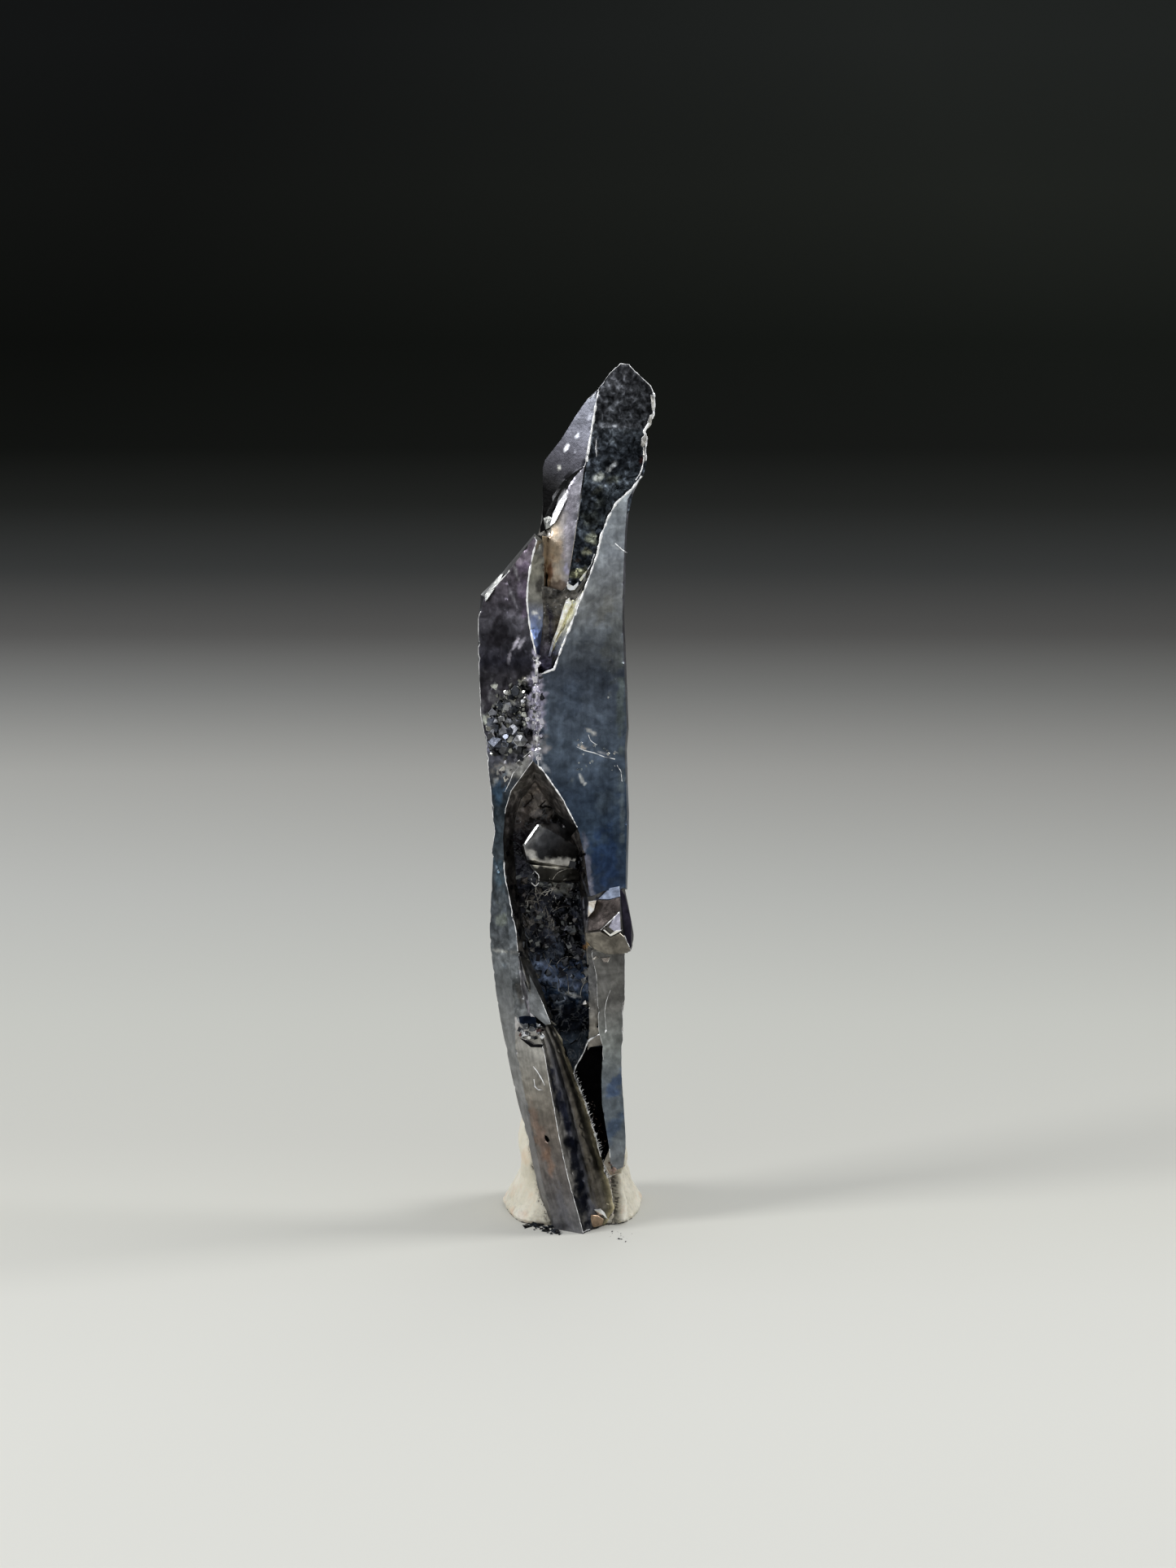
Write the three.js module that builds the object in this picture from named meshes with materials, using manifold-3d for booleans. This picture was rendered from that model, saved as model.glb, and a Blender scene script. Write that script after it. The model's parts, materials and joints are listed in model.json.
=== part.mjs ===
// A galena crystal: a tall group of flat lead-grey laths grown together, standing on its end
// in a wad of white mounting putty. Millimetres, +Z up; the origin is on the foot of the group.
import * as THREE from "three";
import { LoftGeometry } from "three/addons/geometries/LoftGeometry.js";
import { ConvexGeometry } from "three/addons/geometries/ConvexGeometry.js";
import { mergeVertices } from "three/addons/utils/BufferGeometryUtils.js";
import Module from "manifold-3d";

const wasm = await Module();
wasm.setup();

// Driving dimensions
const LEAN = THREE.MathUtils.degToRad(4.6); // how far the laths lean back from upright
const DIP = THREE.MathUtils.degToRad(12); // how far the lines into the depth run downhill
const REAR = 2.3; // depth of the rear faces behind the sheet
const RIDGE_X = -1.42; // where the two main faces meet, across the sheet
const RIDGE_DEPTH = -1.2; // how far that ridge stands in front of the sheet
const TIP_RIDGE = { x: 0.1, s: 31.88, depth: -0.17 }; // foot of the tip plate's left edge
const HOPPER_DEPTH = 0.55; // floor of the hopper
const SLOT_DEPTH = 1.7; // floor of the slot beside the foot
const BUNDLE_CREST = -1.35; // how far the lower laths stand in front of the sheet
const BUNDLE_FRONT = -0.45; // depth of their left front edge
const BUNDLE_RIGHT = 0.2; // depth of their right edge
const PUTTY_HEIGHT = 5.6;
const PUTTY_GAP = 0.3; // between the putty and the crystal

// How deep each lath's flared walls go behind its front face
const WALL = {
  plate: 0.3, leaning: 0.15, tan: 0.7, left: 1, right: 0.6, lower: 0.6, valley: 0.3, backing: 0.2,
};
const TAPER = 0.05; // how much a lath narrows from its walls to its rear face

// Every outline lies on a leaning sheet: x runs across, s up the laths, and depth back from it.
const SCALE_UP = Math.cos(DIP) + Math.tan(LEAN) * Math.sin(DIP);
function place(x, s, depth) {
  const z = (s - depth * Math.sin(DIP)) / SCALE_UP;
  return new THREE.Vector3(x, depth + Math.tan(LEAN) * z, z);
}

// A flat face, as depth over the sheet: a point on it and its two slopes.
function face(x0, s0, depth, slopeX = 0, slopeS = 0) {
  return (x, s) => depth + slopeX * (x - x0) + slopeS * (s - s0);
}
const behind = (plane, by) => (x, s) => plane(x, s) + by;

// The crystal faces
const RIGHT_FACE = face(RIDGE_X, 24, RIDGE_DEPTH, 0.2, 0.03);
const LEFT_FACE = face(RIDGE_X, 24, RIDGE_DEPTH, -0.55, 0.01);
const TIP_FACE = face(TIP_RIDGE.x, TIP_RIDGE.s, TIP_RIDGE.depth, 0.05, 0.12);
const LEAN_FACE = face(TIP_RIDGE.x, TIP_RIDGE.s, TIP_RIDGE.depth, -0.6, 0.222);
const TAN_FACE = face(TIP_RIDGE.x, TIP_RIDGE.s, TIP_RIDGE.depth, -0.35, 0.183);
const VALLEY_FACE = face(0.1, 32, -0.36, 0.05, -0.1);
const LOWER_FACE = face(2.5, 14, -0.35, 0.15, 0.01);
const HOPPER_FLOOR = face(0, 16, HOPPER_DEPTH, 0, 0.03);
const REAR_LEFT = face(RIDGE_X, 0, REAR + 0.1, 0.1);
const REAR_RIGHT = face(RIDGE_X, 0, REAR + 0.18, -0.2);
const REAR_TIP = face(0, 28, REAR - 0.1, 0, -0.035);

// A seeded random number, from -1 to 1
function random(seed) {
  const value = Math.sin(seed * 12.9898) * 43758.5453;
  return 2 * (value - Math.floor(value)) - 1;
}

function solidOf(geometry) {
  const plain = new THREE.BufferGeometry().copy(geometry);
  plain.deleteAttribute("normal");
  plain.deleteAttribute("uv");
  const merged = mergeVertices(plain, 1e-4);
  const triVerts = new Uint32Array(merged.index.array);
  const vertProperties = merged.attributes.position.array;
  return new wasm.Manifold(new wasm.Mesh({ numProp: 3, vertProperties, triVerts }));
}

// A closed solid skinned over rings of points, each ring turned so that the faces point out.
function loft(rings) {
  const total = (ring) => ring.reduce((sum, p) => sum.add(p), new THREE.Vector3());
  const middle = (ring) => total(ring).divideScalar(ring.length);
  const along = middle(rings.at(-1)).sub(middle(rings[0]));
  const normal = new THREE.Vector3();
  rings[0].forEach((p, i) => normal.add(p.clone().cross(rings[0][(i + 1) % rings[0].length])));
  const turned = normal.dot(along) > 0 ? rings : rings.map((ring) => ring.slice().reverse());
  return solidOf(new LoftGeometry(turned, { capStart: true, capEnd: true }));
}

// Moves each corner of an outline outwards by its own third value, or by one distance for all.
function spread(outline, distance) {
  const points = outline.map(([x, s]) => new THREE.Vector2(x, s));
  const turn = Math.sign(THREE.ShapeUtils.area(points));
  const outward = (a, b) => new THREE.Vector2(b.y - a.y, a.x - b.x).normalize().multiplyScalar(turn);
  return outline.map(([x, s, own = 0], i) => {
    const before = points.at(i - 1);
    const after = points[(i + 1) % points.length];
    const normal = outward(before, points[i]).add(outward(points[i], after)).normalize();
    const by = distance ?? own;
    return [x + by * normal.x, s + by * normal.y];
  });
}

// A solid skinned over outlines, each lying on its own face.
function skin(...layers) {
  return loft(layers.map(([outline, plane]) => outline.map(([x, s]) => place(x, s, plane(x, s)))));
}

// A lath: a flat front face, walls that flare to the outline's third values, and a rear face.
function lath(outline, front, wall, rear) {
  const flared = spread(outline);
  return skin([outline, front], [flared, behind(front, wall)], [spread(flared, -TAPER), rear]);
}

function lump(points) {
  return solidOf(new ConvexGeometry(points.map(([x, s, depth]) => place(x, s, depth))));
}

// The thin plate that makes the tip, and the two faces that lean off its left edge
function tip() {
  const plate = [
    [1.58, 41.32], [2.18, 42.12], [2.66, 42.56], [3.1, 42.52], [3.58, 42], [4.14, 41.48],
    [4.34, 41], [4.3, 40.04], [3.82, 39.24], [3.98, 38.88], [3.9, 38.44], [3.94, 37.64],
    [3.78, 37.08], [3.34, 36.4], [2.9, 34.5], [2.5, 31.72], [0.78, 30.72], [0.06, 31.44],
    [0.1, 31.88],
  ];
  const leaning = [
    [1.58, 41.32], [1.06, 40.84], [0.5, 40.08], [-0.22, 38.92], [-1.02, 37.92],
    [-1.14, 37.52], [-1.14, 35.52], [-1.26, 34.68], [-1.74, 32.52], [-0.9, 31], [0.02, 31.1],
    [0.1, 31.88],
  ];
  const tan = [
    [0.9, 37.52], [0.1, 31.88], [0.06, 31.44], [-0.9, 31.44], [-0.98, 32.92, 0.3],
    [-0.94, 33.92, 0.35], [-0.62, 34.72, 0.55], [-0.22, 35.92, 0.95], [0.22, 36.8, 0.9],
  ];
  return [
    lath(plate, TIP_FACE, WALL.plate, REAR_TIP),
    lath(leaning, LEAN_FACE, WALL.leaning, REAR_TIP),
    lath(tan, TAN_FACE, WALL.tan, REAR_TIP),
  ];
}

// The big lath on the left: its walls flare towards the valley and along its slanting shoulder
function leftLath() {
  const outline = [
    [-1.54, 34.04, 0.2], [-1.42, 33.84, 0.3], [-1.6, 33.2, 0.55], [-1.74, 32.52, 0.7],
    [-1.86, 31.75, 0.78], [-1.9, 30.92, 0.78], [-1.83, 30.2, 0.72], [-1.74, 29.52, 0.6],
    [-1.61, 28.95, 0.4], [-1.48, 28.4, 0.2], [-1.34, 27.32], [-1.36, 22.6], [-0.5, 20.4],
    [0, 13.32], [-0.3, 10.6], [-1.1, 10.04], [-2.1, 9.95], [-2.56, 10.5], [-2.68, 12.3],
    [-2.84, 14.9], [-3.1, 17.4], [-3.66, 18.6], [-3.5, 19.64], [-3.58, 20.12],
    [-3.7, 21.72], [-3.82, 22.72], [-3.94, 24.12], [-4.18, 25.32], [-4.3, 28.52],
    [-4.3, 30.12], [-3.98, 31.16, 0.26], [-2.86, 32.28, 0.26],
  ];
  return lath(outline, LEFT_FACE, WALL.left, REAR_LEFT);
}

// The big lath on the right, with a notch in its top where the tip plate shows behind it
function rightLath() {
  const outline = [
    [3.7, 37.04, 0.3], [3.22, 36.4, 0.7], [2.46, 35.72, 0.55], [2.02, 34.92, 0.25],
    [1.74, 34.2, 0.18], [1.5, 33.12, 0.18], [0.94, 31.56, 0.3], [0.3, 29.92, 0.45],
    [-0.26, 28.52, 0.4], [-0.58, 27.6, 0.2], [-1.34, 27.32], [-1.62, 26.52], [-1.62, 20.52],
    [-0.22, 16.32], [1.26, 16.44], [1.86, 16.72], [2.94, 16.84, 0.1], [2.94, 17.52, 0.1],
    [3, 20.52, 0.1], [2.9, 23.12, 0.1], [2.88, 23.64, 0.1], [2.98, 24.72, 0.1],
    [2.82, 28.52, 0.1], [2.76, 30.12, 0.1], [2.82, 32.52, 0.1], [2.88, 34.12, 0.1],
    [3.02, 35.92, 0.1],
  ];
  return lath(outline, RIGHT_FACE, WALL.right, REAR_RIGHT);
}

// The narrow lath below the right one, which ends in a blade beside the slot
function lowerRight() {
  const outline = [
    [0.78, 17.12], [2.86, 17.12], [2.9, 13.52], [2.9, 11.32], [2.8, 10.72], [2.8, 9.32],
    [2.74, 9.04], [2.74, 7.72], [2.82, 6.52], [2.94, 4.52], [2.94, 3.92], [2.82, 3],
    [2.26, 2.76], [2.18, 3.32], [2.1, 4.12], [1.94, 5.12], [1.78, 6.12], [1.74, 7.32],
    [1.82, 9], [1.62, 9.72], [1.5, 12.52], [1.06, 14.52],
  ];
  return lath(outline, LOWER_FACE, WALL.lower, REAR_RIGHT);
}

// The floor of the valley between the laths, below the tip plate, with a low ridge along it
function valley() {
  const floor = [
    [-1.4, 31.6], [-0.98, 31.64], [-0.22, 31.44], [0.02, 31.66], [0.3, 31.52], [0.62, 31.64],
    [0.9, 32], [1.14, 32.44], [1.4, 32.4], [1.18, 29.72], [-0.22, 26.92], [-1.62, 26.92],
    [-2.02, 28.92],
  ];
  const ridge = [
    [0.34, 31, -0.5], [0.02, 30.85, -0.42], [-0.3, 29.4, -0.22], [-0.8, 28.2, -0.12],
    [0.56, 30.9, 0.2], [-0.62, 28.1, 0.4], [-0.2, 31, 0.2], [-1, 28.3, 0.4],
  ];
  return [lath(floor, VALLEY_FACE, WALL.valley, REAR_LEFT), lump(ridge)];
}

// Lower laths: a ribbed bundle that leans to the right on its way down to the foot. Each row
// gives s, then the x of the left edge, the front edge, the crest and the right edge, and how
// far the row sinks into the lath above it.
const BUNDLE = [
  [18.4, -3.6, -3.2, -3.1, -2.9, 1.2],
  [16.5, -3.7, -2.95, -2.85, -2.6, 1.05],
  [14.9, -3.78, -2.8, -2.6, -2.3, 0.8],
  [13.9, -3.74, -2.72, -2.4, -2, 0.65],
  [11.6, -3.46, -2.6, -1.75, -1.1, 0.5],
  [10.1, -3.22, -2.52, -1.44, -0.7, 0.05],
  [8.9, -2.98, -2.5, -1.1, -0.1, 0],
  [7.7, -2.74, -2.26, -0.9, 0.38, 0],
  [6.1, -2.38, -1.94, -0.62, 0.98, 0],
  [4.5, -1.94, -1.62, -0.34, 1.46, 0],
  [2.5, -1.54, -1.22, 0.1, 2.06, 0],
  [0.9, -1.18, -0.82, 0.54, 2.4, 0],
  [0.1, -0.8, -0.62, 0.76, 1.98, 0],
  [-0.8, -0.36, -0.5, 0.96, 1.4, 0],
];

// The ribs between the crest and the right edge: how far across, and how far in or out
const RIBS = [[0.16, 0.09], [0.36, -0.03], [0.52, 0.1], [0.68, -0.02], [0.84, 0.07]];

function bundleRing([s, left, front, crest, right, sink], grow) {
  const top = BUNDLE_CREST + sink;
  const ring = [[left, HOPPER_DEPTH], [front, BUNDLE_FRONT + sink / 4], [crest, top]];
  RIBS.forEach(([along, groove]) => {
    const depth = top + (BUNDLE_RIGHT - top) * along + groove * Math.max(0, 1 - 2 * sink);
    ring.push([crest + along * (right - crest), depth]);
  });
  ring.push([right, BUNDLE_RIGHT], [right - 0.1, REAR - 0.1], [left + 0.25, REAR]);
  return spread(ring, grow).map(([x, depth]) => place(x, s, depth));
}

function bundle(grow = 0) {
  return loft(BUNDLE.map((row) => bundleRing(row, grow)));
}

// What lies behind the slot and joins the lower laths
function backing() {
  const outline = [
    [-3.3, 18], [2.6, 18], [2.7, 6.2], [2.3, 4], [1.6, 2.4], [0, 2.4], [-2.4, 8], [-3.3, 13],
  ];
  return lath(outline, () => HOPPER_DEPTH - WALL.backing, WALL.backing, REAR_RIGHT);
}

// The small blocky crystal on the right side
function sideCrystal() {
  return lump([
    [1.58, 16.32, -0.5], [1.98, 16.6, -0.6], [2.66, 16.8, -0.6], [2.9, 16.8, 0.3],
    [3.06, 16.04, 0.6], [3.34, 14.52, 0.6], [3.3, 13.8, 0.5], [2.78, 14.72, -1.15],
    [2.58, 15.72, -1.15], [1.98, 14.92, -1.2], [2.18, 14.52, -1.2], [3.02, 13.64, -0.4],
    [2.18, 13.64, -0.75], [1.3, 13.72, -0.6], [0.9, 14.32, -0.5], [1.06, 16.2, -0.4],
    [1.06, 16.2, 1.5], [2.9, 16.6, 1.4], [3.2, 15.3, 1.3], [3.1, 13.8, 1.3], [1.3, 13.8, 1.5],
  ]);
}

// The hopper: a long hollow with stepped walls, cut into both laths. Each row is a corner of
// the rim and the corner of the floor below it.
const HOPPER = [
  [-1.62, 23.12, -1.54, 22.04], [-1.1, 22.6, -1.18, 21.52], [-0.22, 21.32, -0.5, 20.52],
  [0.58, 19.8, 0.1, 19.24], [0.9, 18.52, 0.46, 18.12], [1.18, 16.32, 0.74, 16.12],
  [1.46, 12.52, 1.06, 12.52], [1.54, 10.04, 1.14, 10.04], [1.06, 9.24, 0.74, 9.32],
  [0.66, 8.32, 0.46, 8.52], [0.34, 7.72, 0.26, 8.04], [-0.22, 8.92, -0.06, 9],
  [-0.78, 9.8, -0.46, 10.04], [-1.82, 10.44, -0.94, 11.08], [-2.22, 11.92, -1.5, 12.32],
  [-2.46, 14.72, -2.02, 14.52], [-3.02, 17.52, -2.46, 17.32], [-3.1, 19.32, -2.62, 19.12],
  [-2.98, 20.72, -2.5, 20.32], [-2.7, 21.64, -2.22, 21.2],
];

function hopper() {
  const rim = HOPPER.map(([x, s]) => [x, s]);
  const floor = HOPPER.map(([, , x, s]) => [x, s]);
  const surface = (x, s) => Math.max(LEFT_FACE(x, s), RIGHT_FACE(x, s));
  return skin([rim, behind(surface, -3)], [rim, surface], [floor, HOPPER_FLOOR]);
}

// The slot between the lower laths and the foot blade
function slot() {
  const outline = [
    [1.82, 9], [1.18, 8.92], [0.66, 8.32], [0.38, 7.72], [0.58, 7.12], [0.9, 6.32],
    [1.18, 5.52], [1.46, 4.72], [1.58, 3.92], [1.78, 3.32], [1.94, 2.72], [2.22, 2.8],
    [2.14, 3.92], [1.94, 5.12], [1.78, 6.12], [1.74, 7.32],
  ];
  return skin([outline, () => -4], [outline, () => SLOT_DEPTH]);
}

// A wedge that stands in the hopper, and the step below it
function wedges() {
  const upper = [
    [-1.42, 20.04, 0.4], [-2.1, 19, -0.1], [-1.92, 18.25, -0.3], [0.38, 17.86, -0.4],
    [0.6, 18.9, -0.25], [0.2, 20, 0.7], [-1.5, 20.1, 0.9], [-2.2, 19, 0.9], [-2, 18, 0.9],
    [0.6, 17.7, 0.9], [0.7, 19, 0.9],
  ];
  const lower = [
    [-1.8, 18, 0.1], [0.6, 17.8, 0], [0.66, 17.2, 0.2], [-1.3, 17.25, 0.3],
    [-1.9, 18, 0.9], [0.7, 17.8, 0.9], [0.7, 17, 0.9], [-1.3, 17, 0.9],
  ];
  return [lump(upper), lump(lower)];
}

// Growth terraces on the rear faces
function terraces() {
  const long = [[-3.4, 29], [-1.9, 31], [-1.5, 14], [-2, 11], [-3.2, 15]];
  const short = [[-3, 27], [-2.1, 28.4], [-1.8, 19], [-2.7, 17.5]];
  const right = [[-1.1, 34], [2.3, 35.5], [2.2, 26], [0.6, 21.5], [-1, 25]];
  const cap = [[-0.4, 33], [1.7, 34], [1.5, 27.5], [0.2, 26]];
  const low = [[-1.1, 19], [2.2, 20.5], [2.1, 11.5], [0.3, 9.5], [-1, 12]];
  const step = (outline, rear, by) => skin([outline, behind(rear, -0.6)], [outline, behind(rear, by)]);
  return [
    step(long, REAR_LEFT, 0.28), step(short, REAR_LEFT, 0.5), step(right, REAR_RIGHT, 0.3),
    step(cap, REAR_RIGHT, 0.52), step(low, REAR_RIGHT, 0.34),
  ];
}

// One small flattened octahedron, half sunk in the face it grows on
function bud(x, s, plane, size, seed) {
  const geometry = new THREE.OctahedronGeometry(size);
  geometry.rotateX(0.5 * random(seed)).rotateZ(0.5 * random(seed + 1));
  geometry.rotateY(Math.PI * random(seed + 2)).scale(1, 0.6, 1);
  const at = place(x, s, plane(x, s));
  return solidOf(geometry.translate(at.x, at.y, at.z));
}

// Patches of small crystals: along the ridge between the faces, over the left face and in the
// hopper. Each has the middle and half width of its spread, and how far it leans as it climbs.
const PATCHES = [
  { count: 16, x: RIDGE_X, halfX: 0.1, s: 25.85, halfS: 2.6, lean: 0, plane: RIGHT_FACE, size: 0.17 },
  { count: 26, x: -2.7, halfX: 0.95, s: 25.1, halfS: 1.9, lean: 0, plane: LEFT_FACE, size: 0.2 },
  { count: 40, x: -0.5, halfX: 1.3, s: 14, halfS: 3.2, lean: -0.22, plane: HOPPER_FLOOR, size: 0.24 },
];
const BUD_VARIES = 0.4; // how much the buds of one patch differ in size

function crusts() {
  return PATCHES.flatMap(({ count, x, halfX, s, halfS, lean, plane, size }, patch) =>
    Array.from({ length: count }, (_, i) => {
      const seed = 1000 * patch + i;
      const up = halfS * random(seed + 100);
      const across = halfX * random(seed + 200) + lean * up;
      const own = size * (1 + BUD_VARIES * random(seed + 300));
      return bud(x + across, s + up, plane, own, seed + 400);
    }),
  );
}

const joined = (pieces) => pieces.reduce((all, piece) => all.add(piece));

function galena() {
  const body = joined([
    ...tip(), leftLath(), rightLath(), lowerRight(), ...valley(), backing(), ...terraces(),
  ]);
  const hollowed = body.subtract(hopper());
  const grown = joined([hollowed, bundle(), sideCrystal(), ...wedges(), ...crusts()]);
  const below = solidOf(new THREE.BoxGeometry(20, 20, 10).translate(0, 0, -5));
  return grown.subtract(slot()).subtract(below);
}

// The putty: rings of a lumpy cone, from the surface it stands on to its blunt top. Each row
// gives its height as a share of the whole, its centre, and its half width and half depth.
const PUTTY_RINGS = [
  [0, 0.4, 3.9, 3.15, 3.6], [0.1, 0.4, 3.9, 3.32, 3.8], [0.36, 0.3, 3.7, 2.98, 3.35],
  [0.62, 0.1, 3.4, 2.62, 2.8], [0.86, -0.1, 3.3, 2.1, 2.1], [1, -0.2, 3.3, 1.3, 1.3],
];
const PUTTY_SIDES = 24;

function putty() {
  const sections = PUTTY_RINGS.map(([share, cx, cy, halfWidth, halfDepth], ring) => {
    const points = [];
    for (let i = 0; i < PUTTY_SIDES; i++) {
      const angle = (i / PUTTY_SIDES) * 2 * Math.PI;
      const lumpy = 1 + 0.03 * Math.sin(3 * angle + ring) + 0.02 * Math.sin(5 * angle - 2 * ring);
      points.push(new THREE.Vector3(
        cx + halfWidth * lumpy * Math.cos(angle),
        cy + halfDepth * lumpy * Math.sin(angle),
        share * PUTTY_HEIGHT,
      ));
    }
    return points;
  });
  const wad = loft(sections);
  const blade = [[0.6, 9], [3.3, 9], [3.26, 2.7], [2.2, 2.4], [1.3, 4]];
  const room = skin([blade, () => -1], [blade, () => REAR + PUTTY_GAP]);
  return wad.subtract(bundle(PUTTY_GAP)).subtract(room);
}

function meshOf(solid, name, material) {
  const { vertProperties, triVerts } = solid.getMesh();
  const geometry = new THREE.BufferGeometry();
  geometry.setAttribute("position", new THREE.BufferAttribute(vertProperties, 3));
  geometry.setIndex(new THREE.BufferAttribute(triVerts, 1));
  const mesh = new THREE.Mesh(geometry, material);
  mesh.name = name;
  return mesh;
}

const GALENA = new THREE.MeshStandardMaterial({ color: 0x4a5160, roughness: 0.3, metalness: 1 });
const PUTTY = new THREE.MeshStandardMaterial({ color: 0xe6e2d6, roughness: 0.8, metalness: 0 });

const group = new THREE.Group();
group.add(meshOf(galena(), "galena_crystal", GALENA));
group.add(meshOf(putty(), "mounting_putty", PUTTY));

export default group;
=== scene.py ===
# %% [markdown]
# # A galena crystal in a wad of putty
# Galena is lead sulphide: a heavy, opaque mineral with the shine of cut lead. This specimen is
# a tall group of flat laths grown together, and a wad of white putty behind its foot holds it
# upright for the camera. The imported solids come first, as a frame that nothing here moves.

import json
import math

import bmesh
import bpy
import numpy as np
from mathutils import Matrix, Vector, bvhtree, kdtree, noise
from mathutils.geometry import delaunay_2d_cdt

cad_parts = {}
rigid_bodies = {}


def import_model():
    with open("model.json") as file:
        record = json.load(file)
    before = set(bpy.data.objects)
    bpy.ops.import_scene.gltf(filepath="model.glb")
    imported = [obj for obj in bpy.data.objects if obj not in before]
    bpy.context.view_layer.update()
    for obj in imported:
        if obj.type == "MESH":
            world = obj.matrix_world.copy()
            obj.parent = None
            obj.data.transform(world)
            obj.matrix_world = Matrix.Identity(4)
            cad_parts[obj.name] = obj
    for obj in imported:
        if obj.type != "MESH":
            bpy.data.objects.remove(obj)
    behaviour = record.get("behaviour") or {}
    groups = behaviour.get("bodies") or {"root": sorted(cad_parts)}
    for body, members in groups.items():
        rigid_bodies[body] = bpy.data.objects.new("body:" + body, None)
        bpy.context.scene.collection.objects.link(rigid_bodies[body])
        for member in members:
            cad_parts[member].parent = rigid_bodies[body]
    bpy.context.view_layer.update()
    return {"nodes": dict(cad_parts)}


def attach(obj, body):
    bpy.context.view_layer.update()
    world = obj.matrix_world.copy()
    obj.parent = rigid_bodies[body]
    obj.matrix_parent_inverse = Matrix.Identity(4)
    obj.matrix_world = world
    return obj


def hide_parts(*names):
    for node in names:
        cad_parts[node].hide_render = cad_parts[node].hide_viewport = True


for leftover in list(bpy.data.objects):
    bpy.data.objects.remove(leftover)
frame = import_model()
MM = 0.001

# %% [markdown]
# ## Where things are
# The laths lean back a little, so points on them are easier to name on a leaning sheet than in
# space: x runs across it, s up the laths, and depth back from it. Each main crystal face is
# then a plane, a depth over the sheet with two slopes.

# %% The leaning sheet and the crystal faces
LEAN = math.tan(math.radians(4.6))
DIP = math.radians(12)
SCALE_UP = math.cos(DIP) + LEAN * math.sin(DIP)


def place(x, s, depth):
    """A point of the sheet, in millimetres of the frame."""
    z = (s - depth * math.sin(DIP)) / SCALE_UP
    return (x, depth + LEAN * z, z)


def on_sheet(points):
    """x, s and depth of points in millimetres."""
    depth = points[:, 1] - LEAN * points[:, 2]
    return points[:, 0], points[:, 2] * SCALE_UP + depth * math.sin(DIP), depth


def face(x0, s0, depth, slope_x=0.0, slope_s=0.0):
    """The depth of a plane at any x and s, from one point of it and its two slopes."""
    return lambda x, s: depth + slope_x * (x - x0) + slope_s * (s - s0)


TIP_RIDGE = (0.1, 31.88, -0.17)  # where the three faces of the tip meet
RIDGE = (-1.42, 24, -1.2)  # a point of the long ridge between the left and the right face
FACES = {
    "tip plate": face(*TIP_RIDGE, 0.05, 0.12),
    "leaning face": face(*TIP_RIDGE, -0.6, 0.222),
    "tan face": face(*TIP_RIDGE, -0.35, 0.183),
    "left face": face(*RIDGE, -0.55, 0.01),
    "right face": face(*RIDGE, 0.2, 0.03),
    "lower right": face(2.5, 14, -0.35, 0.15, 0.01),
    "valley floor": face(0.1, 32, -0.36, 0.05, -0.1),
    "hopper floor": face(0, 16, 0.55, 0, 0.03),
}

# The lower laths: s, then x of their left edge, front edge, crest and right edge.
BUNDLE = np.array([
    [18.4, -3.6, -3.2, -3.1, -2.9], [16.5, -3.7, -2.95, -2.85, -2.6],
    [14.9, -3.78, -2.8, -2.6, -2.3], [13.9, -3.74, -2.72, -2.4, -2.0],
    [11.6, -3.46, -2.6, -1.75, -1.1], [10.1, -3.22, -2.52, -1.44, -0.7],
    [8.9, -2.98, -2.5, -1.1, -0.1], [7.7, -2.74, -2.26, -0.9, 0.38],
    [6.1, -2.38, -1.94, -0.62, 0.98], [4.5, -1.94, -1.62, -0.34, 1.46],
    [2.5, -1.54, -1.22, 0.1, 2.06], [0.9, -1.18, -0.82, 0.54, 2.4],
    [-0.8, -0.36, -0.5, 0.96, 1.4],
])[::-1]
BUNDLE_TOP = 13  # s below which the growth lines follow the bundle's crest


def bundle_edges(s):
    """x of the bundle's left edge, front edge, crest and right edge at each s."""
    return [np.interp(s, BUNDLE[:, 0], BUNDLE[:, column]) for column in (1, 2, 3, 4)]


print(len(FACES), "crystal faces")

# %% [markdown]
# ## Camera, floor and light
# A long lens from slightly above keeps the laths straight. The sweep of paper under the
# specimen is pale near it, and a painted falloff of light darkens it to black behind and a little
# unevenly from left to right, so the dark crystal has a bright edge all round. The light is soft:
# broad panels that a flat metallic face can reflect whole.

# %% Camera
ELEVATION = math.radians(12)
DISTANCE = 300.0
LOOK_AT = Vector((1.08, 1.78, 22.09))


def in_scene(name, data):
    """A new object in the scene, for a mesh, a light or the camera."""
    thing = bpy.data.objects.new(name, data)
    bpy.context.scene.collection.objects.link(thing)
    return thing


camera_data = bpy.data.cameras.new("camera")
camera_data.sensor_fit = "VERTICAL"
camera_data.sensor_height = 36
camera_data.lens = 140
camera_data.clip_start = 0.01
camera = in_scene("camera", camera_data)
offset = Vector((0, -math.cos(ELEVATION), math.sin(ELEVATION))) * DISTANCE
camera.location = (LOOK_AT + offset) * MM
camera.rotation_euler = (math.pi / 2 - ELEVATION, 0, 0)
bpy.context.scene.camera = camera
bpy.context.scene.view_settings.view_transform = "Standard"
print("camera at", [round(v, 4) for v in camera.location])


# %% Small helpers
def linear(hex_colour):
    """An sRGB hex colour as linear red, green, blue and alpha."""
    values = [int(hex_colour[i:i + 2], 16) / 255 for i in (1, 3, 5)]
    return [v / 12.92 if v <= 0.04045 else ((v + 0.055) / 1.055) ** 2.4 for v in values] + [1.0]


def set_inputs(tree, node, inputs):
    """Sets or links a node's inputs, by name or number."""
    for name, value in inputs.items():
        if isinstance(value, bpy.types.NodeSocket):
            tree.links.new(value, node.inputs[name])
        else:
            node.inputs[name].default_value = value


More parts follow.
